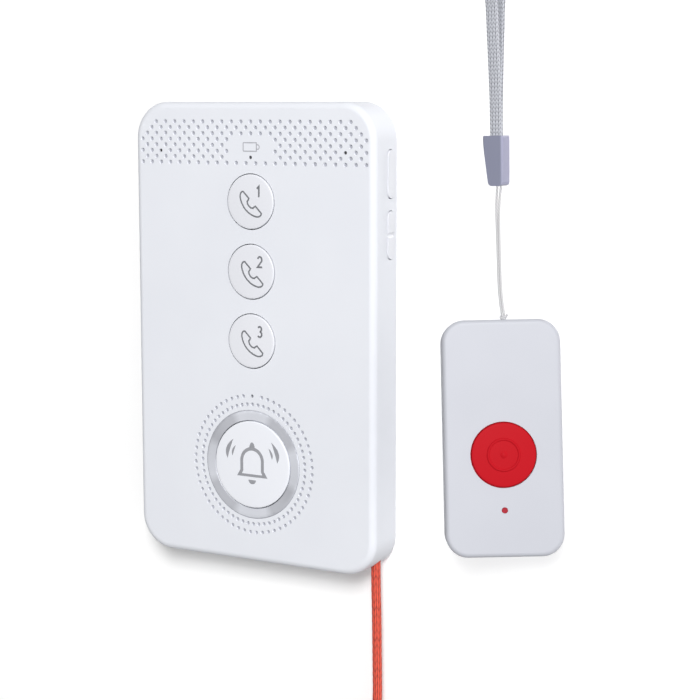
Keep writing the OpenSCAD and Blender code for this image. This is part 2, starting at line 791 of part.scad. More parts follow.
module cord_coil() {
  color(orange) sweep(coil_path, round_section(cord_d / 2, 6), [0, 1, 0]);
}

// A flat tie around all the turns at the coil's left side
module coil_tie() {
  tie_t = 0.7;
  tie_w = 4;
  long = coil_pitch * coil_turns + cord_d + 0.8;
  deep = coil_pitch + cord_d - 0.1;
  mid = coil_at + [-coil_r + coil_pitch * coil_turns / 2, coil_layer / 2, 0];
  color(black) translate(mid - [0, 0, tie_w / 2]) linear_extrude(tie_w) difference() {
    outline(long + 2 * tie_t, deep + 2 * tie_t, 2);
    outline(long, deep, 2 - tie_t);
  }
}

tail_top = coil_path[len(coil_path) - 1];
module cord_tail() {
  color(orange) sweep([for (z = [0:knob_drop / 4:knob_drop]) tail_top - [0, 0, z]],
    round_section(cord_d / 2, 8), [0, 1, 0]);
}

// A turned pull knob at the cord's end
module pull_knob() {
  color(white) translate(tail_top - [0, 0, knob_drop + knob_h]) rotate_extrude()
    polygon([[0, 0], [knob_r - 1.6, 0], [knob_r - 0.5, 0.5], [knob_r, 1.6], [knob_r, 3.4],
      [knob_r * 0.62, knob_h - 4], [knob_r * 0.55, knob_h - 1], [knob_r * 0.45, knob_h], [0, knob_h]]);
}

module pendant_openings() {
  translate([0, 0, -1]) linear_extrude(pendant_in + 1)
    outline(pendant_w - 2 * pendant_wall, pendant_h - 2 * pendant_wall, pendant_r - pendant_wall);
  translate([0, 0, -1]) linear_extrude(1 + pendant_cover_t)
    outline(pendant_w - 2 * pendant_rim, pendant_h - 2 * pendant_rim, pendant_r - pendant_rim);
  post([0, alarm_y], alarm_d / 2 + key_gap, pendant_in - 1, pendant_d + 1);
  post([0, light_y], light_r + screw_gap, pendant_in - 1, pendant_d + 1);
  translate([knot_x, pendant_h / 2 + 1, string_z]) rotate([90, 0, 0])
    cylinder(r = string_hole_r, h = pendant_wall + 2);
}

module pendant_front() {
  color(white) on_pendant() difference() {
    union() {
      difference() {
        rounded_slab(pendant_w, pendant_h, pendant_r, pendant_d, pendant_edge);
        pendant_openings();
      }
      for (p = pendant_posts) post(p, pendant_post_r, pendant_board_front, pendant_in + small);
      for (p = pendant_screw_places) post(p, pendant_boss_r, pendant_cover_t, pendant_in + small);
    }
    for (p = pendant_screw_places) post(p, pendant_screw_r + screw_gap, 0, pendant_in - 0.8);
  }
}

module pendant_rear() {
  inset = pendant_rim + cover_gap;
  color(white) on_pendant() difference() {
    linear_extrude(pendant_cover_t) outline(pendant_w - 2 * inset, pendant_h - 2 * inset, pendant_r - inset);
    for (p = pendant_screw_places) {
      post(p, pendant_screw_r + screw_gap, -1, pendant_cover_t + 1);
      translate([p[0], p[1], -small]) cylinder(r1 = pendant_screw_head_r + screw_gap + 0.1,
        r2 = pendant_screw_r + screw_gap, h = pendant_screw_head_r - pendant_screw_r + 0.1);
    }
  }
}

module pendant_screws() {
  color(steel) on_pendant() for (p = pendant_screw_places)
    cover_screw(p, pendant_screw_r, pendant_screw_head_r, pendant_in - 2);
}

module pendant_button() {
  low = pendant_in - flange_gap - flange_t;
  color(red) on_pendant() translate([0, alarm_y, 0])
    crowned_button(alarm_d, alarm_d + 2 * flange_out, pendant_board_front + switch_h + alarm_travel + stop_gap,
      low + small, pendant_d, 0.3);
}

module pendant_light() {
  color(red) on_pendant() {
    post([0, light_y], light_r, pendant_board_front + led_h, pendant_d);
    post([0, light_y], light_r + 0.6, pendant_in - 0.8, pendant_in);
  }
}

module pendant_led() {
  color(white) on_pendant() block([-0.8, 0.8], [light_y - 0.4, light_y + 0.4],
    pendant_board_front, pendant_board_front + led_h);
}

module pendant_board() {
  color(green) on_pendant() block([-pendant_board_hw, pendant_board_hw], [-pendant_board_hh, pendant_board_hh],
    pendant_board_back, pendant_board_front);
}

module pendant_switch() {
  color(black) on_pendant() tact_switch([0, alarm_y], pendant_board_front);
}

module coin_cell() {
  color(steel) on_pendant() post([0, cell_y], cell_r, pendant_board_back - cell_t, pendant_board_back);
}

// A ring that holds the cell between the rear cover and the board, open at one side to slide the cell out
module cell_holder() {
  color(black) on_pendant() difference() {
    post([0, cell_y], cell_r + cell_gap + holder_wall, pendant_cover_t, pendant_board_back);
    post([0, cell_y], cell_r + cell_gap, pendant_cover_t - 1, pendant_board_back + 1);
    block([-5, 5], [cell_y, cell_y + 2 * cell_r], pendant_cover_t - 1, pendant_board_back + 1);
  }
}

// The knotted end of the string: a knot outside, a neck through the hole and a stopper inside
module string_knot() {
  inner = pendant_h / 2 - pendant_wall;
  color(white) on_pendant() translate([knot_x, 0, string_z]) {
    translate([0, knot_y, 0]) sphere(r = knot_r, $fn = 32);
    translate([0, knot_y, 0]) rotate([90, 0, 0])
      cylinder(r = string_hole_r - screw_gap, h = knot_r + pendant_wall + 0.6);
    translate([0, inner, 0]) rotate([90, 0, 0]) cylinder(r = 1.3, h = 1.2);
  }
}

module lanyard_string() {
  color(white) sweep(string_route, round_section(string_d / 2, 8), [1, 0, 0]);
}

// The folded cap that joins the string to the strap: wider above, with round edges
module lanyard_cap() {
  r = cap_round;
  k = 0.3 * r;
  color(grey) on_lanyard() intersection() {
    translate([0, 0, -cap_d / 2]) linear_extrude(cap_d)
      polygon([[cap_low_x[0], r], [cap_low_x[0] + k, k], [cap_low_x[0] + r, 0], [cap_low_x[1] - r, 0],
        [cap_low_x[1] - k, k], [cap_low_x[1], r], [cap_top_x[1], cap_h - cap_edge], [cap_top_x[1] - cap_edge, cap_h],
        [cap_top_x[0] + cap_edge, cap_h], [cap_top_x[0], cap_h - cap_edge]]);
    translate([(cap_top_x[0] + cap_top_x[1]) / 2, 0, 0]) rotate([-90, 0, 0]) linear_extrude(cap_h)
      outline(cap_top_x[1] - cap_top_x[0], cap_d, cap_corner);
  }
}

module lanyard_strap() {
  points = [for (p = strap_route) [p[0], cap_h + p[1], p[2]]];
  color(grey) on_lanyard() sweep(points, flat_section(strap_w, strap_t), [1, 0, 0]);
}

front_shell();
rear_cover();
housing_gasket();
cover_screws();
call_button(call_y[0]);  // call_button_1
call_button(call_y[1]);  // call_button_2
call_button(call_y[2]);  // call_button_3
bell_ring();
bell_button();
upper_side_key();
lower_side_key();
main_board();
call_switches();
bell_switch();
side_switches();
pull_switch();
speaker();
alarm_buzzer();
microphone();
status_leds();
light_pipes();
battery_pack();
radio_module();
sim_holder();
charge_socket();
cord_bush();
pull_slider();
pull_spring();
pull_cord();
cord_coil();
coil_tie();
cord_tail();
pull_knob();
pendant_front();
pendant_rear();
pendant_screws();
pendant_button();
pendant_light();
pendant_led();
pendant_board();
pendant_switch();
coin_cell();
cell_holder();
string_knot();
lanyard_string();
lanyard_cap();
lanyard_strap();
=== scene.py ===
# %% [markdown]
# # An emergency call station and its pendant
# A flat white wall station carries three numbered call buttons, a large bell button and an orange pull cord.
# A small pendant with one red button hangs beside it on a lanyard.
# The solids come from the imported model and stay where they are, and this lesson dresses them.

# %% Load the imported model
import json
import math

import bpy
import bmesh
from mathutils import Matrix, Vector

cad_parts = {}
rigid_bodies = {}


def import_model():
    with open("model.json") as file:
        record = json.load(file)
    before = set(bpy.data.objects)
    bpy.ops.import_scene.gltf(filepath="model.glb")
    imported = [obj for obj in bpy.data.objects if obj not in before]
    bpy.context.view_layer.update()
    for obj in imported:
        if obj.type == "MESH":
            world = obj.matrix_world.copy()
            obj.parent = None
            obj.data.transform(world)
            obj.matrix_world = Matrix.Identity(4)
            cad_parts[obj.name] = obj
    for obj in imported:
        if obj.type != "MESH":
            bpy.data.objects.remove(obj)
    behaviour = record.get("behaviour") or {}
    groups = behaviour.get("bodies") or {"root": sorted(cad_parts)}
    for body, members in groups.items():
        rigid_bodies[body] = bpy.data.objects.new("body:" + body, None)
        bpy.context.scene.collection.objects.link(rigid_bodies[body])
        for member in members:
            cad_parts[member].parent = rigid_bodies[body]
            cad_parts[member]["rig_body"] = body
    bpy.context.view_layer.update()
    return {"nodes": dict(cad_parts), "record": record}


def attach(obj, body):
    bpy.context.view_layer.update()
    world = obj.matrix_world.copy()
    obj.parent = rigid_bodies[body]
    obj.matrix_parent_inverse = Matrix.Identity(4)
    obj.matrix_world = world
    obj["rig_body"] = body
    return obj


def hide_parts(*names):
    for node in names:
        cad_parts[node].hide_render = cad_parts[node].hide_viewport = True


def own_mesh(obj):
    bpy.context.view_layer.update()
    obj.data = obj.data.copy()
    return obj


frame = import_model()
scene = bpy.context.scene
scene.view_settings.view_transform = "Standard"
MM = 0.001

# %% [markdown]
# ## The camera
# The photograph looks at the station from its right and a little above, through a long lens.
# A camera could be turned by eye, but the station's straight edges give its place by calculation.
# The numbers below are that fit, and nothing in the scene depends on them.

# %% Place the camera
CAMERA_AT = (0.27178, -0.42627, 0.0632)
LOOK_DOWN, LOOK_LEFT = 7.748, 30.14
SENSOR, LENS = 36, 91.39
bpy.ops.object.camera_add(
    location=CAMERA_AT,
    rotation=(math.radians(90 - LOOK_DOWN), 0, math.radians(LOOK_LEFT)),
)
camera = bpy.context.object
camera.name = "photo_camera"
camera.data.sensor_width = SENSOR
camera.data.lens = LENS
camera.data.clip_start = 0.01
scene.camera = camera
print("camera lens", LENS, "mm, turned", LOOK_LEFT, "degrees to its left")

# %% [markdown]
# ## A skin for cords
# A cord follows a route of points. A bevelled curve would give a smooth tube, but a braid is not smooth.
# So a smooth line runs through the points in equal steps, and a ring of vertices is set on each step.
# Each vertex may stand out a little, which is how the strands of a braid become real shape.


# %% Helpers for routes
def running_marks(points):
    """How far along the line each point lies."""
    marks = [0.0]
    for a, b in zip(points, points[1:]):
        marks.append(marks[-1] + (b - a).length)
    return marks


def even_steps(fine, marks, count):
    """Points at equal steps along a fine line, with both of its ends."""
    even, k = [], 0
    for n in range(count + 1):
        at = marks[-1] * n / count
        while k < len(marks) - 2 and marks[k + 1] < at:
            k += 1
        share = (at - marks[k]) / max(marks[k + 1] - marks[k], 1e-12)
        even.append(fine[k].lerp(fine[k + 1], min(share, 1)))
    return even


def smooth_route(points, step, splits=16):
    """One smooth curve through the points, cut into nearly equal steps, and its length."""
    points = [Vector(p) for p in points]
    spans = [(b - a).length for a, b in zip(points, points[1:])]
    tangents = []
    for i in range(len(points)):
        if 0 < i < len(points) - 1:
            before = (points[i] - points[i - 1]) / spans[i - 1]
            after = (points[i + 1] - points[i]) / spans[i]
            share = spans[i - 1] / (spans[i - 1] + spans[i])
            tangents.append(before * (1 - share) + after * share)
        else:
            k = 0 if i == 0 else i - 1
            tangents.append((points[k + 1] - points[k]) / spans[k])
    fine = [points[0]]
    for i, span in enumerate(spans):
        for n in range(1, splits + 1):
            t = n / splits
            fine.append(
                points[i] * (2 * t**3 - 3 * t**2 + 1)
                + tangents[i] * span * (t**3 - 2 * t**2 + t)
                + points[i + 1] * (3 * t**2 - 2 * t**3)
                + tangents[i + 1] * span * (t**3 - t**2)
            )
    marks = running_marks(fine)
    count = max(2, round(marks[-1] / step))
    return even_steps(fine, marks, count), marks[-1]


def outline(half_width, half_depth, power, sides, fineness=1440):
    """A closed outline with evenly spaced points: a circle at power 2, a flat strap at more."""
    fine = []
    for n in range(fineness):
        a = math.tau * n / fineness
        c, s = math.cos(a), math.sin(a)
        x = math.copysign(abs(c) ** (2 / power), c) * half_width
        y = math.copysign(abs(s) ** (2 / power), s) * half_depth
        fine.append(Vector((x, y)))
    fine.append(fine[0])
    marks = running_marks(fine)
    ring = even_steps(fine, marks, sides)[:-1]
    out = []
    for n, p in enumerate(ring):
        along = ring[(n + 1) % sides] - ring[n - 1]
        out.append((p, Vector((along.y, -along.x)).normalized()))
    return out, marks[-1]


# %% [markdown]
# A braid's stitches are a height that depends only on the place around the cord and along it.
# The skin lifts each vertex by that height, keeps it for the finish, and closes both ends of each tube.


# %% Helpers for skins
def knitted(row, columns, relief, slant=0.8):
    """Columns of V stitches: how far a place on the skin stands out, and its height from 0 to 1."""

    def stitch(around, along):
        place = around * columns
        aside = abs(2 * (place - math.floor(place)) - 1)
        leg = 1 - (2 * aside - 1) ** 2
        rows = along / row + slant * aside
        bead = 1 - (2 * (rows - math.floor(rows)) - 1) ** 2
        height = math.sqrt(max(leg, 0)) * math.sqrt(max(bead, 0))
        return relief * height, height

    return stitch


def skin(name, lines):
    """A mesh of closed tubes. Each line is a route, an outline, its first side and a relief."""
    mesh = bpy.data.meshes.new(name)
    shape = bmesh.new()
    heights = shape.verts.layers.float.new("weave")
    wraps = shape.loops.layers.uv.new("wrap")
    for route, (ring, girth), side, relief in lines:
        sides, rows, along = len(ring), [], 0.0
        side = Vector(side)
        for n, point in enumerate(route):
            ahead = (route[min(n + 1, len(route) - 1)] - route[max(n - 1, 0)]).normalized()
            side = (side - ahead * side.dot(ahead)).normalized()
            up = ahead.cross(side)
            if n:
                along += (point - route[n - 1]).length
            row = []
            for k, (flat, normal) in enumerate(ring):
                rise, tone = relief(k / sides, along)
                at = flat + normal * rise
                vert = shape.verts.new(point + side * at.x + up * at.y)
                vert[heights] = tone
                row.append(vert)
            rows.append((row, along))
        for (low, a), (high, b) in zip(rows, rows[1:]):
            for k in range(sides):
                m = (k + 1) % sides
                face = shape.faces.new((low[k], low[m], high[m], high[k]))
                face.smooth = True
                spots = ((k, a), (k + 1, a), (k + 1, b), (k, b))
                for loop, (u, v) in zip(face.loops, spots):
                    loop[wraps].uv = (u / sides, v / girth)
        shape.faces.new(list(reversed(rows[0][0])))
        shape.faces.new(rows[-1][0])
    bmesh.ops.recalc_face_normals(shape, faces=shape.faces)
    shape.to_mesh(mesh)
    shape.free()
    piece = bpy.data.objects.new(name, mesh)
    scene.collection.objects.link(piece)
    print(name, "has", len(mesh.polygons), "faces")
    return piece


# %% [markdown]
# ## The pull cord
# The orange cord is a round braid about 2.7 mm thick. It leaves the station's lower right corner and hangs.
# The photograph fades it out, so its rest is wound into a tied coil just below the view.
# The route repeats the solid's own points, so cord and solid lie in the same place.

# %% Route of the pull cord
CORD_X, CORD_Y, CORD_EXIT, CORD_TOP = 35.4, -4.8, -65.0, -47.5
COIL_AT, COIL_R, COIL_PITCH = Vector((38.6, -4.8, -132)), 21.0, 3.2
TURNS, CROSSING, ALL_TURNS = 3.854, 0.5, 8.208
COIL_START, COIL_LEAD, COIL_STEPS = 75, 2.7, 198
TAIL_DROPS = (4, 11)
CORD_STEP = 0.42 * MM


def coil_angle(turn):
    return math.radians(COIL_START - 360 * turn)


def coil_point(turn):
    """A flat spiral inward, one step forward at its middle, and a spiral outward in front."""
    back = min(max((turn - TURNS) / CROSSING, 0), 1)
    inward = turn if turn < TURNS else ALL_TURNS - turn if back >= 1 else TURNS
    radius, a = COIL_R - COIL_PITCH * inward, coil_angle(turn)
    rise = (1 - math.cos(math.pi * back)) / 2
    return COIL_AT + Vector((radius * math.cos(a), -COIL_PITCH * rise, radius * math.sin(a)))


def coil_heading(turn):
    a = coil_angle(turn)
    return Vector((math.sin(a), 0, -math.cos(a)))


hanging = [(0, 10), (0, 2), (0.1, -5), (0.3, -12), (0.4, -19), (0.5, -26), (0.6, -33), (0.7, -39)]
hanging += [(1.4, -42.1), (3.3, -44.6)]
cord_points = [Vector((CORD_X, CORD_Y, CORD_TOP))]
cord_points += [Vector((CORD_X + dx, CORD_Y, CORD_EXIT + dz)) for dx, dz in hanging]
coil_in = coil_point(0) - COIL_LEAD * coil_heading(0)
cord_points += [coil_in - coil_heading(0), coil_in]
cord_points += [coil_point(ALL_TURNS * n / COIL_STEPS) for n in range(COIL_STEPS + 1)]
tail = coil_point(ALL_TURNS) + COIL_LEAD * coil_heading(ALL_TURNS)
cord_points += [tail] + [tail + Vector((0, 0, -drop)) for drop in TAIL_DROPS]
cord_route, cord_length = smooth_route([p * MM for p in cord_points], CORD_STEP)
print("cord length", round(cord_length, 3), "m")

# %% [markdown]
# Six columns of stitches stand out by 0.15 mm from a core that is a little thinner than the cord.

# %% Braid of the pull cord
ACROSS = Vector((1, 0, 0))
CORE_R, CORE_SIDES = 1.22 * MM, 48
BRAID_ROW, BRAID_COLUMNS, BRAID_RELIEF = 2.2 * MM, 6, 0.15 * MM
core = outline(CORE_R, CORE_R, 2, CORE_SIDES)
braid = knitted(BRAID_ROW, BRAID_COLUMNS, BRAID_RELIEF)
pull_cord = skin("braided_pull_cord", [(cord_route, core, ACROSS, braid)])

# %% [markdown]
# ## The lanyard
# The pendant hangs on a thin doubled string, a folded grey cap and a flat woven strap.
# All are given in the pendant's own frame or the lanyard's, and a matrix sets each in the room.

# %% Frames of the pendant and the lanyard
PENDANT_AT, PENDANT_MID = (80.1, -18.5, -20.6), 5
PENDANT_TURN, PENDANT_TILT, ROLL = 29.5, -9, 1.3
PENDANT_H, STRING_Z = 60.4, 5.0
KNOT_X, KNOT_R, INTO_KNOT = 1.0, 0.85, 0.1
KNOT_Y = PENDANT_H / 2 + KNOT_R
DRIFT, BOW = Vector((-1.25, -0.4, 32.8)), 0.72


def turned(degrees, axis):
    return Matrix.Rotation(math.radians(degrees), 4, axis)


PENDANT = (
    Matrix.Translation(PENDANT_AT)
    @ turned(PENDANT_TURN, "Z")
    @ turned(90, "X")
    @ turned(ROLL, "Z")
    @ turned(PENDANT_TILT, "X")
    @ Matrix.Translation((0, 0, -PENDANT_MID))
)
STRING_FOOT = PENDANT @ Vector((KNOT_X, KNOT_Y + KNOT_R - INTO_KNOT, STRING_Z))
LANYARD = Matrix.Translation(STRING_FOOT + DRIFT) @ turned(90, "X") @ turned(ROLL, "Z")


def on_pendant(x, y, z):
    return (PENDANT @ Vector((x, y, z))) * MM


def on_lanyard(x, y, z):
    return (LANYARD @ Vector((x, y, z))) * MM


print("string's foot", [round(c, 1) for c in STRING_FOOT], "mm")

# %% [markdown]
# The string is two twisted plies, side by side, which part a little on the way up to the cap.

# %% Doubled string
STRING_R, STRING_SIDES, STRING_STEPS = 0.29 * MM, 14, 12
MIDDLE_STEP, PLY_STEP = 0.25 * MM, 0.12 * MM
PLY_GAP, PLY_SPREAD = 0.3, 0.85
STRANDS, TWIST_LAY, TWIST_RELIEF = 3, 0.9 * MM, 0.03 * MM


def string_point(share, aside=0.0):
    sag = BOW * (1 - (2 * share - 1) ** 4)
    return (STRING_FOOT + DRIFT * share + Vector((aside - sag, 0, 0))) * MM


def twist(around, along):
    height = 0.5 + 0.5 * math.cos(math.tau * (STRANDS * around + along / TWIST_LAY))
    return TWIST_RELIEF * height, height


shares = [n / STRING_STEPS for n in range(STRING_STEPS + 1)]
string_middle, string_length = smooth_route([string_point(n) for n in shares], MIDDLE_STEP)
plies = []
for sign in (-1, 1):
    apart = [PLY_GAP + PLY_SPREAD * max(0, n - 0.5) ** 2 for n in shares]
    points = [string_point(n, sign * gap) for n, gap in zip(shares, apart)]
    plies.append(smooth_route(points, PLY_STEP)[0])
string_ring = outline(STRING_R, STRING_R, 2, STRING_SIDES)
lanyard_string = skin("doubled_string", [(ply, string_ring, ACROSS, twist) for ply in plies])
print("string length", round(string_length, 4), "m")

# %% [markdown]
# The knot is a loop tied through itself.
# Two legs go down into the pendant, and a cut end stands out at the side.

# %% Knot
KNOT_SIZE, KNOT_DEPTH, KNOT_RISE, KNOT_STEPS = 0.22, 0.26, 0.04, 48
KNOT_START, KNOT_STEP, END_STEP = 0.2, 0.08 * MM, 0.1 * MM


def knot_point(n):
    t = math.tau * (n + KNOT_START) / KNOT_STEPS
    x = math.sin(t) + 2 * math.sin(2 * t)
    y = 2 * math.cos(2 * t) - math.cos(t)
    z = math.sin(3 * t)
    return on_pendant(KNOT_X + KNOT_SIZE * x, KNOT_Y + KNOT_RISE + KNOT_SIZE * y, STRING_Z + KNOT_DEPTH * z)


def short_end(*places):
    """A short run of string through places counted from the knot's middle."""
    points = [on_pendant(KNOT_X + x, KNOT_Y + y, STRING_Z + z) for x, y, z in places]
    return smooth_route(points, END_STEP)[0]


tied = smooth_route([knot_point(n) for n in range(KNOT_STEPS)], KNOT_STEP)[0]
cut_end = short_end((0.3, 0.1, 0.3), (0.8, 0.2, 0.3), (1.15, 0.55, 0.3))
legs = [short_end((sign * 0.3, -KNOT_R - 1, 0), (sign * 0.36, -0.2, 0)) for sign in (-1, 1)]
knot_lines = [tied, cut_end] + legs
string_knot = skin("tied_knot", [(line, string_ring, ACROSS, twist) for line in knot_lines])

# %% [markdown]
# The strap runs up from the cap, turns over just above the photograph's edge and comes back down behind.

# %% Strap
CAP_H, STRAP_MID, STRAP_TOP = 12.7, -0.4, 41.6
STRAP_HALF_W, STRAP_HALF_T, STRAP_SQUARE = 1.56 * MM, 0.41 * MM, 3.2
STRAP_SIDES, STRAP_STEP = 72, 0.11 * MM
WEAVE_ROW, WEAVE_COLUMNS, WEAVE_RELIEF = 1.05 * MM, 8, 0.16 * MM
strap_half = [
    (0, 0, 0.6), (0.02, 5, 0.62), (0.1, 12, 0.75), (0.25, 19, 0.95), (0.42, 26, 1.15),
    (0.62, 33, 1.35), (0.7, 36.5, 1.9), (0.6, 39.3, 2.3), (0.35, 41, 1.5),
]
strap_points = [(STRAP_MID - x, y, z) for x, y, z in strap_half] + [(STRAP_MID, STRAP_TOP, 0)]
strap_points += [(STRAP_MID + x, y, -z) for x, y, z in reversed(strap_half)]
strap_route, strap_length = smooth_route(
    [on_lanyard(x, CAP_H + rise, z) for x, rise, z in strap_points], STRAP_STEP
)
strap_ring = outline(STRAP_HALF_W, STRAP_HALF_T, STRAP_SQUARE, STRAP_SIDES)
weave = knitted(WEAVE_ROW, WEAVE_COLUMNS, WEAVE_RELIEF)
lanyard_strap = skin("woven_strap", [(strap_route, strap_ring, ACROSS, weave)])
print("strap length", round(strap_length, 4), "m")

# %% [markdown]
# ## Cleaner copies of the moulded solids
# A imported solid is a mesh of loose triangles, so its fillets would show as flat bands.
# Rebuilding each moulding by hand would risk its fit, so each one is copied and its points are merged.
# The copy is shaded smooth up to a fair angle, and weighted normals keep its flats flat.
# The return spring's copy gets a mesh of its own.

# %% Polish the moulded pieces
SLOT_OF = {row["node"]: row["material_slot"] for row in frame["record"]["subparts"]}
FLAT_ANGLE, BEVEL_ANGLE, BEVEL_STEPS = math.radians(1), math.radians(28), 3
SAME_POINT, FLAT_WEIGHT = 1e-6, 80


def polish(node, angle=32, soften=0):
    """A merged and smoothly shaded copy that stands for a solid, with softer edges where asked."""
    source = frame["nodes"][node]
    piece = bpy.data.objects.new(node + "_moulding", source.data.copy())
    scene.collection.objects.link(piece)
    bpy.ops.object.select_all(action="DESELECT")
    piece.select_set(True)
    bpy.context.view_layer.objects.active = piece
    bpy.ops.object.mode_set(mode="EDIT")
    bpy.ops.mesh.select_all(action="SELECT")
    bpy.ops.mesh.customdata_custom_splitnormals_clear()
    bpy.ops.mesh.remove_doubles(threshold=SAME_POINT)
    if soften:
        bpy.ops.mesh.dissolve_limited(angle_limit=FLAT_ANGLE)
    bpy.ops.object.mode_set(mode="OBJECT")
    if soften:
        edges = piece.modifiers.new("soft_edges", "BEVEL")
        edges.width, edges.segments = soften, BEVEL_STEPS
        edges.angle_limit = BEVEL_ANGLE
        bpy.ops.object.modifier_apply(modifier=edges.name)
    bpy.ops.object.shade_smooth_by_angle(angle=math.radians(angle))
    weights = piece.modifiers.new("even_shading", "WEIGHTED_NORMAL")
    weights.keep_sharp = True
    weights.weight = FLAT_WEIGHT
    bpy.ops.object.modifier_apply(modifier=weights.name)
    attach(piece, source["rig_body"])
    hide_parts(node)
    return piece


POLISHED = (
    "front_shell", "rear_cover", "call_button_1", "call_button_2", "call_button_3", "bell_ring",
    "bell_button", "upper_side_key", "lower_side_key", "cord_bush", "pull_knob", "coil_tie",
    "pendant_front", "pendant_rear", "pendant_button", "pendant_light",
)
mouldings = {node: polish(node) for node in POLISHED}
mouldings["lanyard_cap"] = polish("lanyard_cap", soften=0.2 * MM)
mouldings["pull_spring"] = polish("pull_spring", angle=60)
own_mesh(mouldings["pull_spring"])
print("polished", len(mouldings), "mouldings")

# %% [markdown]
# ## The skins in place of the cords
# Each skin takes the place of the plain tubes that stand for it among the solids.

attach(pull_cord, "pull_line")
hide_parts("pull_cord", "cord_coil", "cord_tail")
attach(lanyard_string, "pendant")
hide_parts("lanyard_string")
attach(string_knot, "pendant")
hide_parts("string_knot")
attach(lanyard_strap, "pendant")
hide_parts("lanyard_strap")

# %% [markdown]
# ## Printed signs
# Each call button carries a handset sign and its number, and the large button carries a bell.
# Ink has almost no height, but a flat picture on a plane would float above the crowned caps.
# So each line is a flat curve filled between its two edges, made a mesh and laid on the cap's own crown.
# The fill's triangles are evened out first, because long thin ones would cut under the crown.

# %% Helpers for lines
INK = 0.04
INK_STEP = 0.4


def close_steps(points):
    """The same closed line with no step longer than INK_STEP, so that it can follow a crown."""
    made = []
    for (x, y), (u, v) in zip(points, points[1:] + points[:1]):
        count = max(1, math.ceil(math.hypot(u - x, v - y) / INK_STEP))
        made += [(x + (u - x) * n / count, y + (v - y) * n / count) for n in range(count)]
    return made


def beside(points, distance, closed):
    """A line at a distance from another, with mitred corners."""
    made, last = [], len(points) - 1
    for n, (x, y) in enumerate(points):
        before = points[n - 1] if closed or n else points[0]
        after = points[(n + 1) % len(points)] if closed or n < last else points[last]
        sides = []
        for (ax, ay), (bx, by) in ((before, (x, y)), ((x, y), after)):
            long = math.hypot(bx - ax, by - ay)
            if long > 1e-9:
                sides.append(Vector((ay - by, bx - ax)) / long)
        middle = (sides[0] + sides[-1]).normalized()
        reach = distance / max(0.35, middle.dot(sides[0]))
        made.append((x + middle.x * reach, y + middle.y * reach))
    return made


def arc(cx, cy, rx, ry, start, stop, count):
    steps = [math.radians(start + (stop - start) * n / count) for n in range(count + 1)]
    return [(cx + rx * math.cos(a), cy + ry * math.sin(a)) for a in steps]


def bow(start, middle, stop, count=10):
    """A curve from start towards stop through a point halfway, without its last point."""
    pull = [2 * m - (a + b) / 2 for a, m, b in zip(start, middle, stop)]
    made = []
    for n in range(count):
        t = n / count
        made.append(tuple(
            (1 - t) ** 2 * a + 2 * t * (1 - t) * p + t * t * b for a, p, b in zip(start, pull, stop)
        ))
    return made


# %% [markdown]
# A patch of ink starts as a filled curve, because Blender fills rims with holes by itself.
# It is made a mesh when its sign is printed, because a flat curve can't bend onto a crown.


# %% Helpers for ink
def ink(*rims):
    """A patch of ink inside the first rim, with the others as holes, in millimetres."""
    curve = bpy.data.curves.new("ink", "CURVE")
    curve.dimensions = "2D"
    curve.fill_mode = "BOTH"
    curve.extrude = 0.1
    for rim in rims:
        rim = close_steps(rim)
        line = curve.splines.new("POLY")
        line.points.add(len(rim) - 1)
        for spot, (x, y) in zip(line.points, rim):
            spot.co = (x, y, 0, 1)
        line.use_cyclic_u = True
    patch = bpy.data.objects.new("ink", curve)
    scene.collection.objects.link(patch)
    return patch


def ink_line(points, width, closed=False):
    """A line of ink of even width along the points."""
    left, right = beside(points, width / 2, closed), beside(points, -width / 2, closed)
    return ink(left, right) if closed else ink(left + right[::-1])


def crown(top, rise, radius):
    """How far a domed cap stands out, as a function of the place on it."""
    return lambda x, y: top + rise * (1 - (x * x + y * y) / radius**2)


def print_sign(name, marks, centre, height, body):
    """Join the marks, press them thin and lay them on the surface that height(x, y) gives."""
    bpy.ops.object.select_all(action="DESELECT")
    for mark in marks:
        mark.select_set(True)
    bpy.context.view_layer.objects.active = marks[0]
    bpy.ops.object.convert(target="MESH")
    bpy.ops.object.join()
    piece = bpy.context.object
    bpy.ops.object.transform_apply(location=True, rotation=True, scale=True)
    bpy.ops.object.mode_set(mode="EDIT")
    bpy.ops.mesh.select_all(action="SELECT")
    bpy.ops.mesh.remove_doubles(threshold=1e-5)
    bpy.ops.mesh.beautify_fill(angle_limit=math.pi)
    bpy.ops.object.mode_set(mode="OBJECT")
    tall = max(abs(v.co.z) for v in piece.data.vertices)
    for v in piece.data.vertices:
        x, y, z = v.co.x, v.co.y, v.co.z / tall * INK
        out = height(x, y) + z
        v.co = Vector((centre[0] + x, -out, centre[1] + y)) * MM
    piece.name = name
    piece.data.name = name
    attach(piece, body)
    print(name, "has", len(piece.data.polygons), "faces")
    return piece


# %% [markdown]
# The handset lies on the diagonal.
# Half of it is drawn along its own axis, mirrored and then turned by 45 degrees.

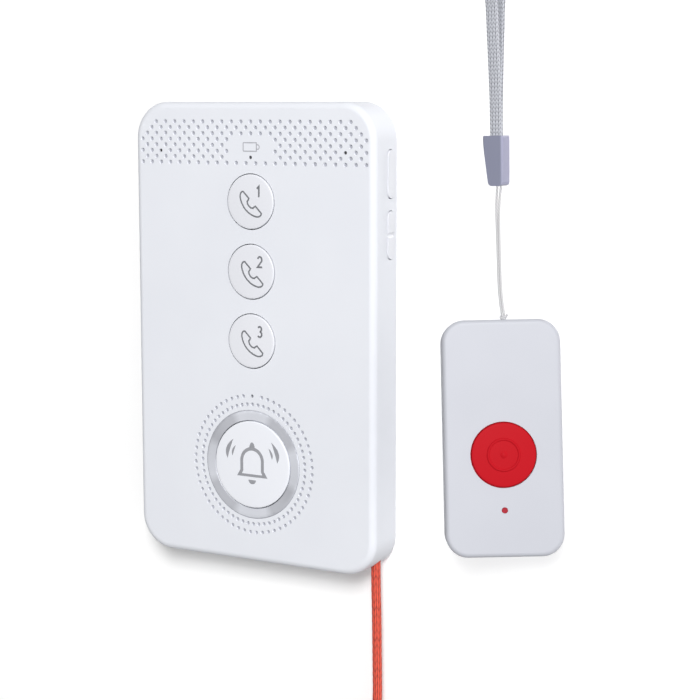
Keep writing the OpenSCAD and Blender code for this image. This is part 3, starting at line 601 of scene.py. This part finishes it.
# %% Handset signs and numbers
CAP_TOP, CALL_RISE, CALL_R = 13.35, 0.15, 7.25
CALL_Y, CALL_NUDGE = (37.505, 18.005, -1.495), (0.22, 0.55, 0.4)
HANDSET_LINE, NUMBER_LINE = 0.44, 0.5
NUMBER_W, NUMBER_H, NUMBER_X, NUMBER_Y = 0.8, 0.93, 2.6, 2.84
DIAGONAL, SHIFT, HANDSET_X, HANDSET_Y = math.sqrt(0.5), 0.36, 0.28, 0.08
half = [
    (0, -2.98), (1.1, -2.88), (2.2, -2.6), (3.1, -2.22), (3.85, -1.75), (4.3, -1.2), (4.46, -0.65),
    (4.4, -0.25), (4.19, 0.03), (1.53, 0.06), (1.34, -0.4), (1.3, -0.95), (0.7, -1.36), (0, -1.46),
]
whole = half + [(-u, v) for u, v in reversed(half[1:-1])]
handset = []
for u, v in whole:
    handset.append(((u + SHIFT + v) * DIAGONAL + HANDSET_X, (v - u - SHIFT) * DIAGONAL + HANDSET_Y))
numbers = [
    [[(-0.62, 0.85), (0.1, 1.5), (0.22, 1.6), (0.22, -1.6)]],
    [arc(0, 0.72, 0.82, 0.88, 165, -30, 12) + [(-0.88, -1.5), (0.95, -1.5)]],
    [arc(-0.05, 0.8, 0.72, 0.76, 150, -90, 12), arc(-0.05, -0.78, 0.84, 0.82, 90, -150, 12)],
]
call_signs = []
for n, (y, nudge, number) in enumerate(zip(CALL_Y, CALL_NUDGE, numbers), 1):
    marks = [ink_line([(u + nudge, v) for u, v in handset], HANDSET_LINE, True)]
    for line in number:
        line = [(u * NUMBER_W + NUMBER_X + nudge, v * NUMBER_H + NUMBER_Y) for u, v in line]
        marks.append(ink_line(line, NUMBER_LINE))
    cap = crown(CAP_TOP, CALL_RISE, CALL_R)
    call_signs.append(print_sign(f"call_sign_{n}", marks, (0, y), cap, f"call_button_{n}"))

# %% [markdown]
# The bell is an outline with a cap and a clapper, and two curved waves stand on each side of it.

# %% The bell sign
BELL_Y, BELL_RISE, BELL_R, BELL_NUDGE = -36.70, 0.3, 12.1, 0.2
rim = [(-5.1, -3.65), (-3.95, -1.8), (-3.95, 0.95)] + arc(0, 0.95, 3.95, 3.95, 180, 0, 24)[1:-1]
rim += [(3.95, 0.95), (3.95, -1.8), (5.1, -3.65)]
hollow = [(-3.45, -2.88), (-3.0, -2.0), (-3.0, 0.95)] + arc(0, 0.95, 3.0, 3.0, 180, 0, 20)[1:-1]
hollow += [(3.0, 0.95), (3.0, -2.0), (3.45, -2.88)]
knob = [(0.95, 4.6), (0.8, 5.3)] + arc(0, 5.45, 0.7, 0.8, 0, 180, 10) + [(-0.8, 5.3), (-0.95, 4.6)]
clapper = arc(0, -4.55, 1.25, 1.2, 180, 360, 14)
marks = [ink(rim, hollow), ink(knob), ink(clapper)]
waves = [
    ((6.35, 6.78), (8.8, 3.95), (8.35, 1.03), (7.45, 4.0)),
    ((5.53, 4.99), (6.78, 3.5), (6.63, 1.96), (6.05, 3.58)),
]
for side in (-1, 1):
    for corners in waves:
        top, outer, low, inner = [(x * side, y) for x, y in corners]
        marks.append(ink(bow(top, outer, low) + bow(low, inner, top)))
bell_crown = crown(CAP_TOP, BELL_RISE, BELL_R)
bell_sign = print_sign("bell_sign", marks, (BELL_NUDGE, BELL_Y + BELL_NUDGE), bell_crown, "bell_button")

# %% [markdown]
# The battery outline is printed on the flat face between the two halves of the speaker's band.

# %% The battery sign
SHELL_FACE, BATTERY_AT, CASE_LINE, NUB_LINE = 13.0, (0.5, 52.6), 0.32, 0.3
case = [(-2.85, -1.02), (-2.7, -1.17), (1.5, -1.17), (1.5, 1.17), (-2.7, 1.17), (-2.85, 1.02)]
nub = [(1.6, 0.62), (2.1, 0.6), (2.42, 0.25), (2.42, -0.25), (2.1, -0.6), (1.6, -0.62)]
battery_marks = [ink_line(case, CASE_LINE, True), ink_line(nub, NUB_LINE)]
battery_sign = print_sign("battery_sign", battery_marks, BATTERY_AT, lambda x, y: SHELL_FACE, "station")

# %% [markdown]
# ## A mark to find by touch
# The pendant's red button is pressed without looking, so a raised ring and dot let a finger find its middle.
# A torus could be pushed into the cap, but a ring spun from a small profile has no hidden half.

# %% Raised ring and dot
RED_Y, RED_TOP, RED_RISE, RED_R = -4.2, 10.35, 0.3, 7.85
MARK_SINK, MARK_HEIGHT = 0.02, 0.3
MARK_RADII = ((3.55, 4.35), (0.0, 0.95))
MARK_STEPS, MARK_SIDES = 8, 64
red_crown = crown(RED_TOP, RED_RISE, RED_R)


def raised_mark():
    shape = bmesh.new()
    for low, high in MARK_RADII:
        profile = []
        for n in range(MARK_STEPS + 1):
            r = low + (high - low) * n / MARK_STEPS
            a = math.pi * n / MARK_STEPS
            swell = math.sin(a) if low else math.cos(a / 2)
            profile.append((r, red_crown(r, 0) - MARK_SINK + MARK_HEIGHT * swell))
        rings = []
        for k in range(MARK_SIDES):
            a = math.tau * k / MARK_SIDES
            rings.append([
                shape.verts.new(on_pendant(r * math.cos(a), RED_Y + r * math.sin(a), z))
                for r, z in profile
            ])
        for k in range(MARK_SIDES):
            near, far = rings[k], rings[(k + 1) % MARK_SIDES]
            for n in range(MARK_STEPS):
                shape.faces.new((near[n], near[n + 1], far[n + 1], far[n])).smooth = True
    bmesh.ops.remove_doubles(shape, verts=shape.verts, dist=1e-7)
    bmesh.ops.recalc_face_normals(shape, faces=shape.faces)
    mesh = bpy.data.meshes.new("touch_mark")
    shape.to_mesh(mesh)
    shape.free()
    piece = bpy.data.objects.new("touch_mark", mesh)
    scene.collection.objects.link(piece)
    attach(piece, "pendant_button")
    return piece


touch_mark = raised_mark()
print("touch mark has", len(touch_mark.data.polygons), "faces")

# %% [markdown]
# ## Finishes
# Every finish is built from nodes, so it needs no picture and follows the piece in any view.
# A few helpers keep the node trees short: an input is either a plain value or another node's output.


# %% Helpers for nodes
def feed(holder, value, socket):
    """Link an output to an input, or write a plain value into it."""
    if isinstance(value, bpy.types.NodeSocket):
        holder.node_tree.links.new(value, socket)
    else:
        socket.default_value = value


def node(holder, kind, **inputs):
    """A node of a material or a world. Its inputs are named with low lines for spaces."""
    made = holder.node_tree.nodes.new("ShaderNode" + kind)
    for name, value in inputs.items():
        feed(holder, value, made.inputs[name.replace("_", " ")])
    return made


def in_order(holder, kind, values):
    """A node with its first inputs fed in their order, for kinds whose inputs share a name."""
    made = node(holder, kind)
    for value, socket in zip(values, made.inputs):
        feed(holder, value, socket)
    return made


def maths(holder, operation, *values):
    made = in_order(holder, "Math", values)
    made.operation = operation
    return made.outputs[0]


def vectors(holder, operation, *values):
    made = in_order(holder, "VectorMath", values)
    made.operation = operation
    return made.outputs["Value" if operation == "LENGTH" else "Vector"]


def spread(holder, value, low, high, to_low=0, to_high=1):
    """Carry a value from one range to another, held at both ends."""
    made = node(holder, "MapRange", Value=value, From_Min=low, From_Max=high, To_Min=to_low, To_Max=to_high)
    return made.outputs["Result"]


def tones(holder, share, low, high, start=0, stop=1):
    """A colour between two tones."""
    made = node(holder, "ValToRGB", Fac=share)
    first, last = made.color_ramp.elements
    first.position, last.position = start, stop
    first.color, last.color = (*low, 1), (*high, 1)
    return made.outputs["Color"]


def blend(holder, share, first, second, kind="MIX"):
    """One colour laid over another. A Mix node's colours are its sockets 6 and 7, and its result is 2."""
    made = node(holder, "Mix")
    made.data_type = "RGBA"
    made.blend_type = kind
    feed(holder, share, made.inputs["Factor"])
    feed(holder, first, made.inputs[6])
    feed(holder, second, made.inputs[7])
    return made.outputs[2]


# %% [markdown]
# Moulded plastic has a fine spark-eroded grain, so small noise goes into its bump and its roughness.
# Its colour drifts slowly between two close tones, as real mouldings do.
# Shade is painted into the dips: the shell's colour darkens with depth below its face.
# That is kept inside the face's rounded outline, so the fillet at its edge stays clean.


# %% Helpers for plastics
def new_finish(name, colour, roughness, **settings):
    material = bpy.data.materials.new(name)
    material.use_nodes = True
    shader = material.node_tree.nodes["Principled BSDF"]
    shader.inputs["Base Color"].default_value = (*colour, 1)
    shader.inputs["Roughness"].default_value = roughness
    for socket, value in settings.items():
        shader.inputs[socket.replace("_", " ")].default_value = value
    return material, shader


def bumped(material, shader, height, strength, distance):
    bump = node(material, "Bump", Strength=strength, Distance=distance, Height=height)
    feed(material, bump.outputs["Normal"], shader.inputs["Normal"])


def grain(material, shader, scale, strength, distance, rough):
    """Fine noise in the bump and in the roughness."""
    place = node(material, "TexCoord").outputs["Object"]
    noise = node(material, "TexNoise", Vector=place, Scale=scale, Detail=3.0, Roughness=0.55).outputs["Fac"]
    bumped(material, shader, noise, strength, distance)
    feed(material, spread(material, noise, 0.3, 0.7, *rough), shader.inputs["Roughness"])


def mottle(material, scale, low, high):
    """Slow drift of the colour between two close tones."""
    place = node(material, "TexCoord").outputs["Object"]
    noise = node(material, "TexNoise", Vector=place, Scale=scale, Detail=2.0)
    return tones(material, noise.outputs["Fac"], low, high, 0.35, 0.65)


def moulded(name, low, high, roughness, scale=5200, strength=0.12, recolour=None, **settings):
    """A moulded plastic: fine grain, close tones, a narrow range of roughness."""
    material, shader = new_finish(name, high, roughness, **settings)
    grain(material, shader, scale, strength, 0.00002, (roughness - 0.05, roughness + 0.06))
    tone = mottle(material, 38, low, high)
    if recolour:
        tone = recolour(material, tone)
    feed(material, tone, shader.inputs["Base Color"])
    return material


# Depths where the painted shade in the dips starts, is full and stops, and below them the colour of that
# shade.
DIP_START, DIP_FULL, DIP_END = -0.01283, -0.01256, -0.0122
FACE_CORNER, FACE_REACH = (0.0293, 1, 0.0548), 0.0079
PAINTED_DIP_SHADE = (0.53, 0.53, 0.557, 1)
# The colour of the painted light on the cap's right-facing side.
CAP_PAINTED_LIGHT = (0.34, 0.34, 0.476, 1)


def painted_dip_shade(material, tone):
    """Painted shade: a darker tone below the shell's face, inside its rounded outline."""
    place = node(material, "TexCoord").outputs["Object"]
    depth = node(material, "SeparateXYZ", Vector=place).outputs["Y"]
    corner = vectors(material, "SUBTRACT", vectors(material, "ABSOLUTE", place), FACE_CORNER)
    away = vectors(material, "LENGTH", vectors(material, "MAXIMUM", corner))
    in_dip = maths(material, "LESS_THAN", depth, DIP_END)
    shade_share = maths(material, "MULTIPLY", spread(material, depth, DIP_START, DIP_FULL), in_dip)
    shade_share = maths(material, "MULTIPLY", shade_share, maths(material, "LESS_THAN", away, FACE_REACH))
    # Painted shade: the dips' darker colour is multiplied into the shell's own.
    return blend(material, shade_share, tone, PAINTED_DIP_SHADE, "MULTIPLY")


def painted_side_light(material, tone):
    """Painted light: a paler colour where the surface faces to the right, towards the light."""
    normal = node(material, "NewGeometry").outputs["Normal"]
    aside = node(material, "SeparateXYZ", Vector=normal).outputs["X"]
    return blend(material, spread(material, aside, 0.3, 0.75), tone, CAP_PAINTED_LIGHT)


# %% [markdown]
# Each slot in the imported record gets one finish, with its two close tones, its roughness and its grain.

# %% Moulded plastics
FINISH = {
    "white_shell": moulded(
        "shell_plastic", (0.765, 0.782, 0.832), (0.785, 0.802, 0.85), 0.52, recolour=painted_dip_shade
    ),
    "white_key": moulded("key_plastic", (0.755, 0.765, 0.81), (0.775, 0.785, 0.83), 0.34, strength=0.06),
    "pendant_white": moulded("pendant_plastic", (0.482, 0.493, 0.541), (0.5, 0.511, 0.559), 0.5),
    "red_key": moulded(
        "red_plastic", (0.46, 0.0075, 0.014), (0.485, 0.009, 0.0165), 0.5,
        strength=0.1, Specular_IOR_Level=0.05,
    ),
    # The cap plastic gets painted light on its right-facing side.
    "grey_plastic": moulded(
        "cap_plastic", (0.21, 0.22, 0.3), (0.228, 0.24, 0.32), 0.45, recolour=painted_side_light
    ),
    "black_plastic": moulded("black_nylon", (0.012, 0.012, 0.014), (0.02, 0.02, 0.022), 0.5),
    "smoked_pipe": moulded(
        "smoked_acrylic", (0.035, 0.035, 0.039), (0.045, 0.045, 0.05), 0.15, strength=0.02
    ),
    "lamp": moulded("lamp_lens", (0.78, 0.74, 0.55), (0.85, 0.82, 0.62), 0.2, strength=0.03),
    "red_lamp": moulded(
        "red_lens", (0.33, 0.018, 0.03), (0.38, 0.024, 0.038), 0.3,
        strength=0.03, Specular_IOR_Level=0.15,
    ),
    "battery_wrap": moulded("battery_sleeve", (0.25, 0.27, 0.33), (0.3, 0.32, 0.38), 0.38, scale=900),
    "board_green": moulded("solder_mask", (0.01, 0.09, 0.04), (0.02, 0.13, 0.06), 0.35, scale=1500),
    "seal_rubber": moulded("seal_rubber", (0.008, 0.008, 0.008), (0.016, 0.016, 0.016), 0.7, scale=2500),
}
bell_plastic = moulded("bell_plastic", (0.82, 0.835, 0.884), (0.835, 0.85, 0.898), 0.34, strength=0.06)
print("moulded finishes", len(FINISH) + 1)

# %% [markdown]
# The inks are matt. Each kind of sign has a grey of its own, and the battery's is the palest.


# %% Inks
def ink_finish(name, low, high):
    material, shader = new_finish(name, high, 0.55)
    grain(material, shader, 9000, 0.05, 0.00001, (0.5, 0.62))
    feed(material, mottle(material, 900, low, high), shader.inputs["Base Color"])
    return material


call_ink = ink_finish("sign_ink", (0.15, 0.155, 0.17), (0.175, 0.18, 0.195))
bell_ink = ink_finish("bell_ink", (0.285, 0.29, 0.315), (0.315, 0.32, 0.345))
pale_ink = ink_finish("pale_ink", (0.4, 0.405, 0.44), (0.44, 0.445, 0.48))
print("inks", call_ink.name, bell_ink.name, pale_ink.name)

# %% [markdown]
# Screws and cans are drawn metal, so their noise is stretched one way.
# The bright ring is turned on a lathe: its fine lines run around, and they spread the light in a fan.
# Four soft sectors of that fan are painted into its colour as a painted reflection, and a painted shade
# leans from one diagonal to the other. Its outer edge is painted darker, which dims its highlight.


# %% Metals
def metal(name, low, high, roughness, scale, stretch):
    material, shader = new_finish(name, high, roughness, Metallic=1.0)
    place = node(material, "TexCoord").outputs["Object"]
    drawn = node(material, "Mapping", Vector=place, Scale=stretch).outputs["Vector"]
    noise = node(material, "TexNoise", Vector=drawn, Scale=scale, Detail=3.0).outputs["Fac"]
    feed(material, tones(material, noise, low, high), shader.inputs["Base Color"])
    bumped(material, shader, noise, 0.08, 0.00001)
    return material


# Radii where the painted shade on the outer edge starts and is full.
RIM_SHADE_START, RIM_SHADE_FULL = 0.0152, 0.0154
FAN_SECTORS, FAN_EDGE, SHADE_LEAN_LOW, SHADE_LEAN_HIGH = 4, 0.35, 0.74, 0.98
REFLECTION_DARK, REFLECTION_BRIGHT, RING_RIM_SHADE = (0.53, 0.54, 0.58), (0.705, 0.72, 0.77), (0.4, 0.41, 0.45, 1)


def spun_ring():
    """Turned metal: fine rings around the button, with the fan of light painted into its colour as a painted
    reflection, and painted shade on one diagonal and on the outer edge.
    """
    material, shader = new_finish("spun_metal", (0.6, 0.61, 0.64), 0.55, Metallic=1.0, Anisotropic=0.5)
    place = node(material, "TexCoord").outputs["Object"]
    centre = node(material, "Mapping", Vector=place, Location=(0, 0, -BELL_Y * MM), Scale=(1, 0, 1))
    flat = centre.outputs["Vector"]
    axes = node(material, "SeparateXYZ", Vector=flat).outputs
    angle = maths(material, "ARCTAN2", axes["Z"], axes["X"])
    # Painted reflection: four bright and four dark sectors of the fan.
    fan = maths(material, "COSINE", maths(material, "MULTIPLY", angle, FAN_SECTORS))
    tone = tones(material, spread(material, fan, -FAN_EDGE, FAN_EDGE), REFLECTION_DARK, REFLECTION_BRIGHT)
    # Painted shade: darker towards one diagonal and lighter towards the other.
    lean = maths(material, "SINE", maths(material, "MULTIPLY", angle, 2))
    tone = blend(material, 1, tone, spread(material, lean, -1, 1, SHADE_LEAN_LOW, SHADE_LEAN_HIGH), "MULTIPLY")
    radius = vectors(material, "LENGTH", flat)
    # Painted shade on the outer edge, which dims its highlight.
    tone = blend(material, spread(material, radius, RIM_SHADE_START, RIM_SHADE_FULL), tone, RING_RIM_SHADE)
    feed(material, tone, shader.inputs["Base Color"])
    lines = node(material, "TexNoise", Scale=14000.0, Detail=2.0)
    lines.noise_dimensions = "1D"
    feed(material, radius, lines.inputs["W"])
    bumped(material, shader, lines.outputs["Fac"], 0.12, 0.00001)
    tangent = node(material, "Tangent")
    tangent.direction_type = "RADIAL"
    tangent.axis = "Y"
    feed(material, tangent.outputs["Tangent"], shader.inputs["Tangent"])
    return material


FINISH["steel_screw"] = metal("screw_steel", (0.5, 0.5, 0.52), (0.62, 0.62, 0.64), 0.3, 3000, (1, 1, 0.2))
FINISH["metal_can"] = metal("tinned_can", (0.55, 0.56, 0.58), (0.66, 0.67, 0.68), 0.28, 2000, (0.1, 1, 1))
FINISH["bright_ring"] = spun_ring()
print("metal finishes done")

# %% [markdown]
# ## Fibre
# Braid and webbing are already shaped in the mesh, and each vertex keeps its height in the weave.
# That height also paints shade into the gaps between strands, on top of the shade that the relief gets.
# Fine lines along the skin's own map stand for the single filaments.


# %% Woven finishes
def woven(name, gap_shade, top, roughness, lines, sheen):
    material, shader = new_finish(name, top, roughness, Sheen_Weight=sheen, Sheen_Roughness=0.5)
    height = node(material, "Attribute")
    height.attribute_name = "weave"
    # Painted shade: the deep places of the weave get the darker colour.
    shaded_thread = tones(material, height.outputs["Fac"], gap_shade, top, 0.05, 0.75)
    wrap = node(material, "UVMap")
    wrap.uv_map = "wrap"
    stretch = node(material, "Mapping", Vector=wrap.outputs["UV"], Scale=(lines, lines * 0.22, 1))
    place = stretch.outputs["Vector"]
    noise = node(material, "TexNoise", Vector=place, Scale=1.0, Detail=3.0, Roughness=0.6).outputs["Fac"]
    filaments = tones(material, noise, (0.45, 0.45, 0.45), (1, 1, 1), 0.3, 0.7)
    feed(material, blend(material, 0.3, shaded_thread, filaments, "MULTIPLY"), shader.inputs["Base Color"])
    bumped(material, shader, noise, 0.25, 0.00004)
    return material


# Each woven finish's first colour is the painted shade in its gaps.
FINISH["cord_orange"] = woven("orange_braid", (0.24, 0.016, 0.011), (0.83, 0.104, 0.056), 0.7, 60, 0.05)
FINISH["strap_grey"] = woven("grey_webbing", (0.05, 0.056, 0.075), (0.6, 0.614, 0.668), 0.65, 90, 0.1)
FINISH["string_white"] = woven("white_string", (0.4, 0.4, 0.41), (0.76, 0.76, 0.775), 0.6, 30, 0.2)
FINISH["tie_black"] = woven("black_tie", (0.006, 0.006, 0.007), (0.025, 0.025, 0.028), 0.75, 50, 0.2)
print("woven finishes done")

# %% [markdown]
# ## Dressing
# A moulding or a solid takes the finish of its slot in the imported record.
# Three pieces differ: the bell's cap is a little brighter, the cord's bush is white, and the microphone is
# dark, which paints shade into the pinhole in front of it.


# %% Put the finishes on
def dress(piece, material):
    piece.data.materials.clear()
    piece.data.materials.append(material)
    for face in piece.data.polygons:
        face.material_index = 0


for name, piece in mouldings.items():
    dress(piece, FINISH[SLOT_OF[name]])
for name, piece in frame["nodes"].items():
    if name not in mouldings:
        dress(piece, FINISH[SLOT_OF[name]])
dress(mouldings["bell_button"], bell_plastic)
dress(mouldings["cord_bush"], FINISH["white_shell"])
# Painted shade: the microphone is dressed in the dark rubber, so the pinhole in front of it shows dark.
dress(frame["nodes"]["microphone"], FINISH["seal_rubber"])
added = [
    (pull_cord, FINISH["cord_orange"]),
    (lanyard_string, FINISH["string_white"]),
    (string_knot, FINISH["string_white"]),
    (lanyard_strap, FINISH["strap_grey"]),
    (touch_mark, FINISH["red_key"]),
    (bell_sign, bell_ink),
    (battery_sign, pale_ink),
]
added += [(sign, call_ink) for sign in call_signs]
for piece, finish in added:
    dress(piece, finish)
print("dressed", len(frame["nodes"]), "nodes and", len(added), "new pieces")

# %% [markdown]
# ## The room
# The station hangs on a plain pale wall, which catches the soft shadow under its lower edge.
# The wall is seen only from its front, so that the back of the station can be looked at too.
# It shows white to the camera by its own glow, and no extra light falls on the object for it.
# The glow is weak near the object, where the shadows lie, and full farther out.

# %% Wall
WALL_SIZE, WALL_BACK, WALL_PAINT = 3, 0.0006, (0.97, 0.97, 0.97, 1)
GLOW_NEAR, GLOW_FAR, GLOW_LOW = 0.17, 0.45, 0.1
WHITE = (1, 1, 1, 1)


def picture_rays(holder):
    """1 for a ray that carries the picture, and 0 for one that only lights the object."""
    rays = node(holder, "LightPath").outputs
    seen = maths(holder, "MAXIMUM", rays["Is Camera Ray"], rays["Is Glossy Ray"])
    return maths(holder, "MAXIMUM", seen, rays["Is Transmission Ray"])


bpy.ops.mesh.primitive_plane_add(
    size=WALL_SIZE, location=(0, WALL_BACK, 0), rotation=(math.radians(90), 0, 0)
)
wall = bpy.context.object
wall.name = "pale_wall"
bpy.ops.object.transform_apply(location=True, rotation=True, scale=True)
wall.visible_diffuse = False
wall.visible_shadow = False
wall_finish = bpy.data.materials.new("pale_wall")
wall_finish.use_nodes = True
wall_finish.node_tree.nodes.clear()
paint = node(wall_finish, "BsdfDiffuse", Color=WALL_PAINT).outputs[0]
away = vectors(wall_finish, "LENGTH", node(wall_finish, "TexCoord").outputs["Object"])
level = spread(wall_finish, away, GLOW_NEAR, GLOW_FAR, GLOW_LOW, 1)
level = maths(wall_finish, "MULTIPLY", picture_rays(wall_finish), level)
glow = node(wall_finish, "Emission", Color=WHITE, Strength=level).outputs[0]
front = in_order(wall_finish, "AddShader", (paint, glow)).outputs[0]
clear = node(wall_finish, "BsdfTransparent").outputs[0]
from_behind = node(wall_finish, "NewGeometry").outputs["Backfacing"]
surface = in_order(wall_finish, "MixShader", (from_behind, front, clear)).outputs[0]
node(wall_finish, "OutputMaterial", Surface=surface)
dress(wall, wall_finish)
print("wall faces", [round(x, 2) for x in wall.data.polygons[0].normal])

# %% [markdown]
# The room's light comes mostly from the right, a little more from the front and less from above and below.
# The camera sees plain white in its place.

# %% World
FROM_LEFT, FROM_RIGHT, FROM_FRONT, FROM_STEEP = 0.26, 1.0, 0.08, -0.2
world = bpy.data.worlds.new("soft_room")
scene.world = world
world.use_nodes = True
world.node_tree.nodes.clear()
axes = node(world, "SeparateXYZ", Vector=node(world, "TexCoord").outputs["Generated"]).outputs
right = spread(world, axes["X"], 0, 1, FROM_LEFT, FROM_RIGHT)
ahead = spread(world, axes["Y"], -1, 0, FROM_FRONT, 0)
steep = spread(world, maths(world, "ABSOLUTE", axes["Z"]), 0, 1, 0, FROM_STEEP)
level = maths(world, "ADD", maths(world, "ADD", right, ahead), steep)
soft = node(world, "Background", Color=WHITE, Strength=level).outputs[0]
white = node(world, "Background", Color=WHITE).outputs[0]
surface = in_order(world, "MixShader", (picture_rays(world), soft, white)).outputs[0]
node(world, "OutputWorld", Surface=surface)
print("world has", len(world.node_tree.nodes), "nodes")

# %% [markdown]
# Two softboxes near the camera's side light the front, and a third one behind keeps the back readable.
# The pendant hangs clear of the wall, so its shadow is left to the weaker of the two lamps by light linking.
# The thin lanyard leaves no shadow on the wall at all.

# %% Lamps
LAMPS = {
    "key_softbox": ((0.851, -1.6, 1.0), 0.5, 22.3),
    "low_softbox": ((0.792, -1.698, 0.68), 0.33, 11.1),
    "back_softbox": ((0.0, 0.9, 0.2), 0.5, 5.2),
}


def softbox(name, place, size, watts):
    """A square lamp that looks at the origin."""
    bpy.ops.object.light_add(type="AREA", location=place)
    lamp = bpy.context.object
    lamp.name = name
    lamp.rotation_euler = (-Vector(place)).to_track_quat("-Z", "Y").to_euler()
    lamp.data.size = size
    lamp.data.energy = watts
    return lamp


lamps = {name: softbox(name, *facts) for name, facts in LAMPS.items()}
key_blockers = bpy.data.collections.new("casts_key_shadow")
low_blockers = bpy.data.collections.new("casts_low_shadow")
lanyard = (lanyard_string, string_knot, lanyard_strap, mouldings["lanyard_cap"])
lanyard_slots = ("strap_grey", "string_white", "grey_plastic")
for piece in list(scene.objects):
    if piece.type == "MESH" and piece.get("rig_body"):
        if piece["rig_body"] not in ("pendant", "pendant_button"):
            key_blockers.objects.link(piece)
        if piece not in lanyard and SLOT_OF.get(piece.name) not in lanyard_slots:
            low_blockers.objects.link(piece)
lamps["key_softbox"].light_linking.blocker_collection = key_blockers
lamps["low_softbox"].light_linking.blocker_collection = low_blockers
print("lamps", list(lamps))

# %% [markdown]
# ## Last step
# The view layer is brought up to date.

# %% Update the view layer
bpy.context.view_layer.update()
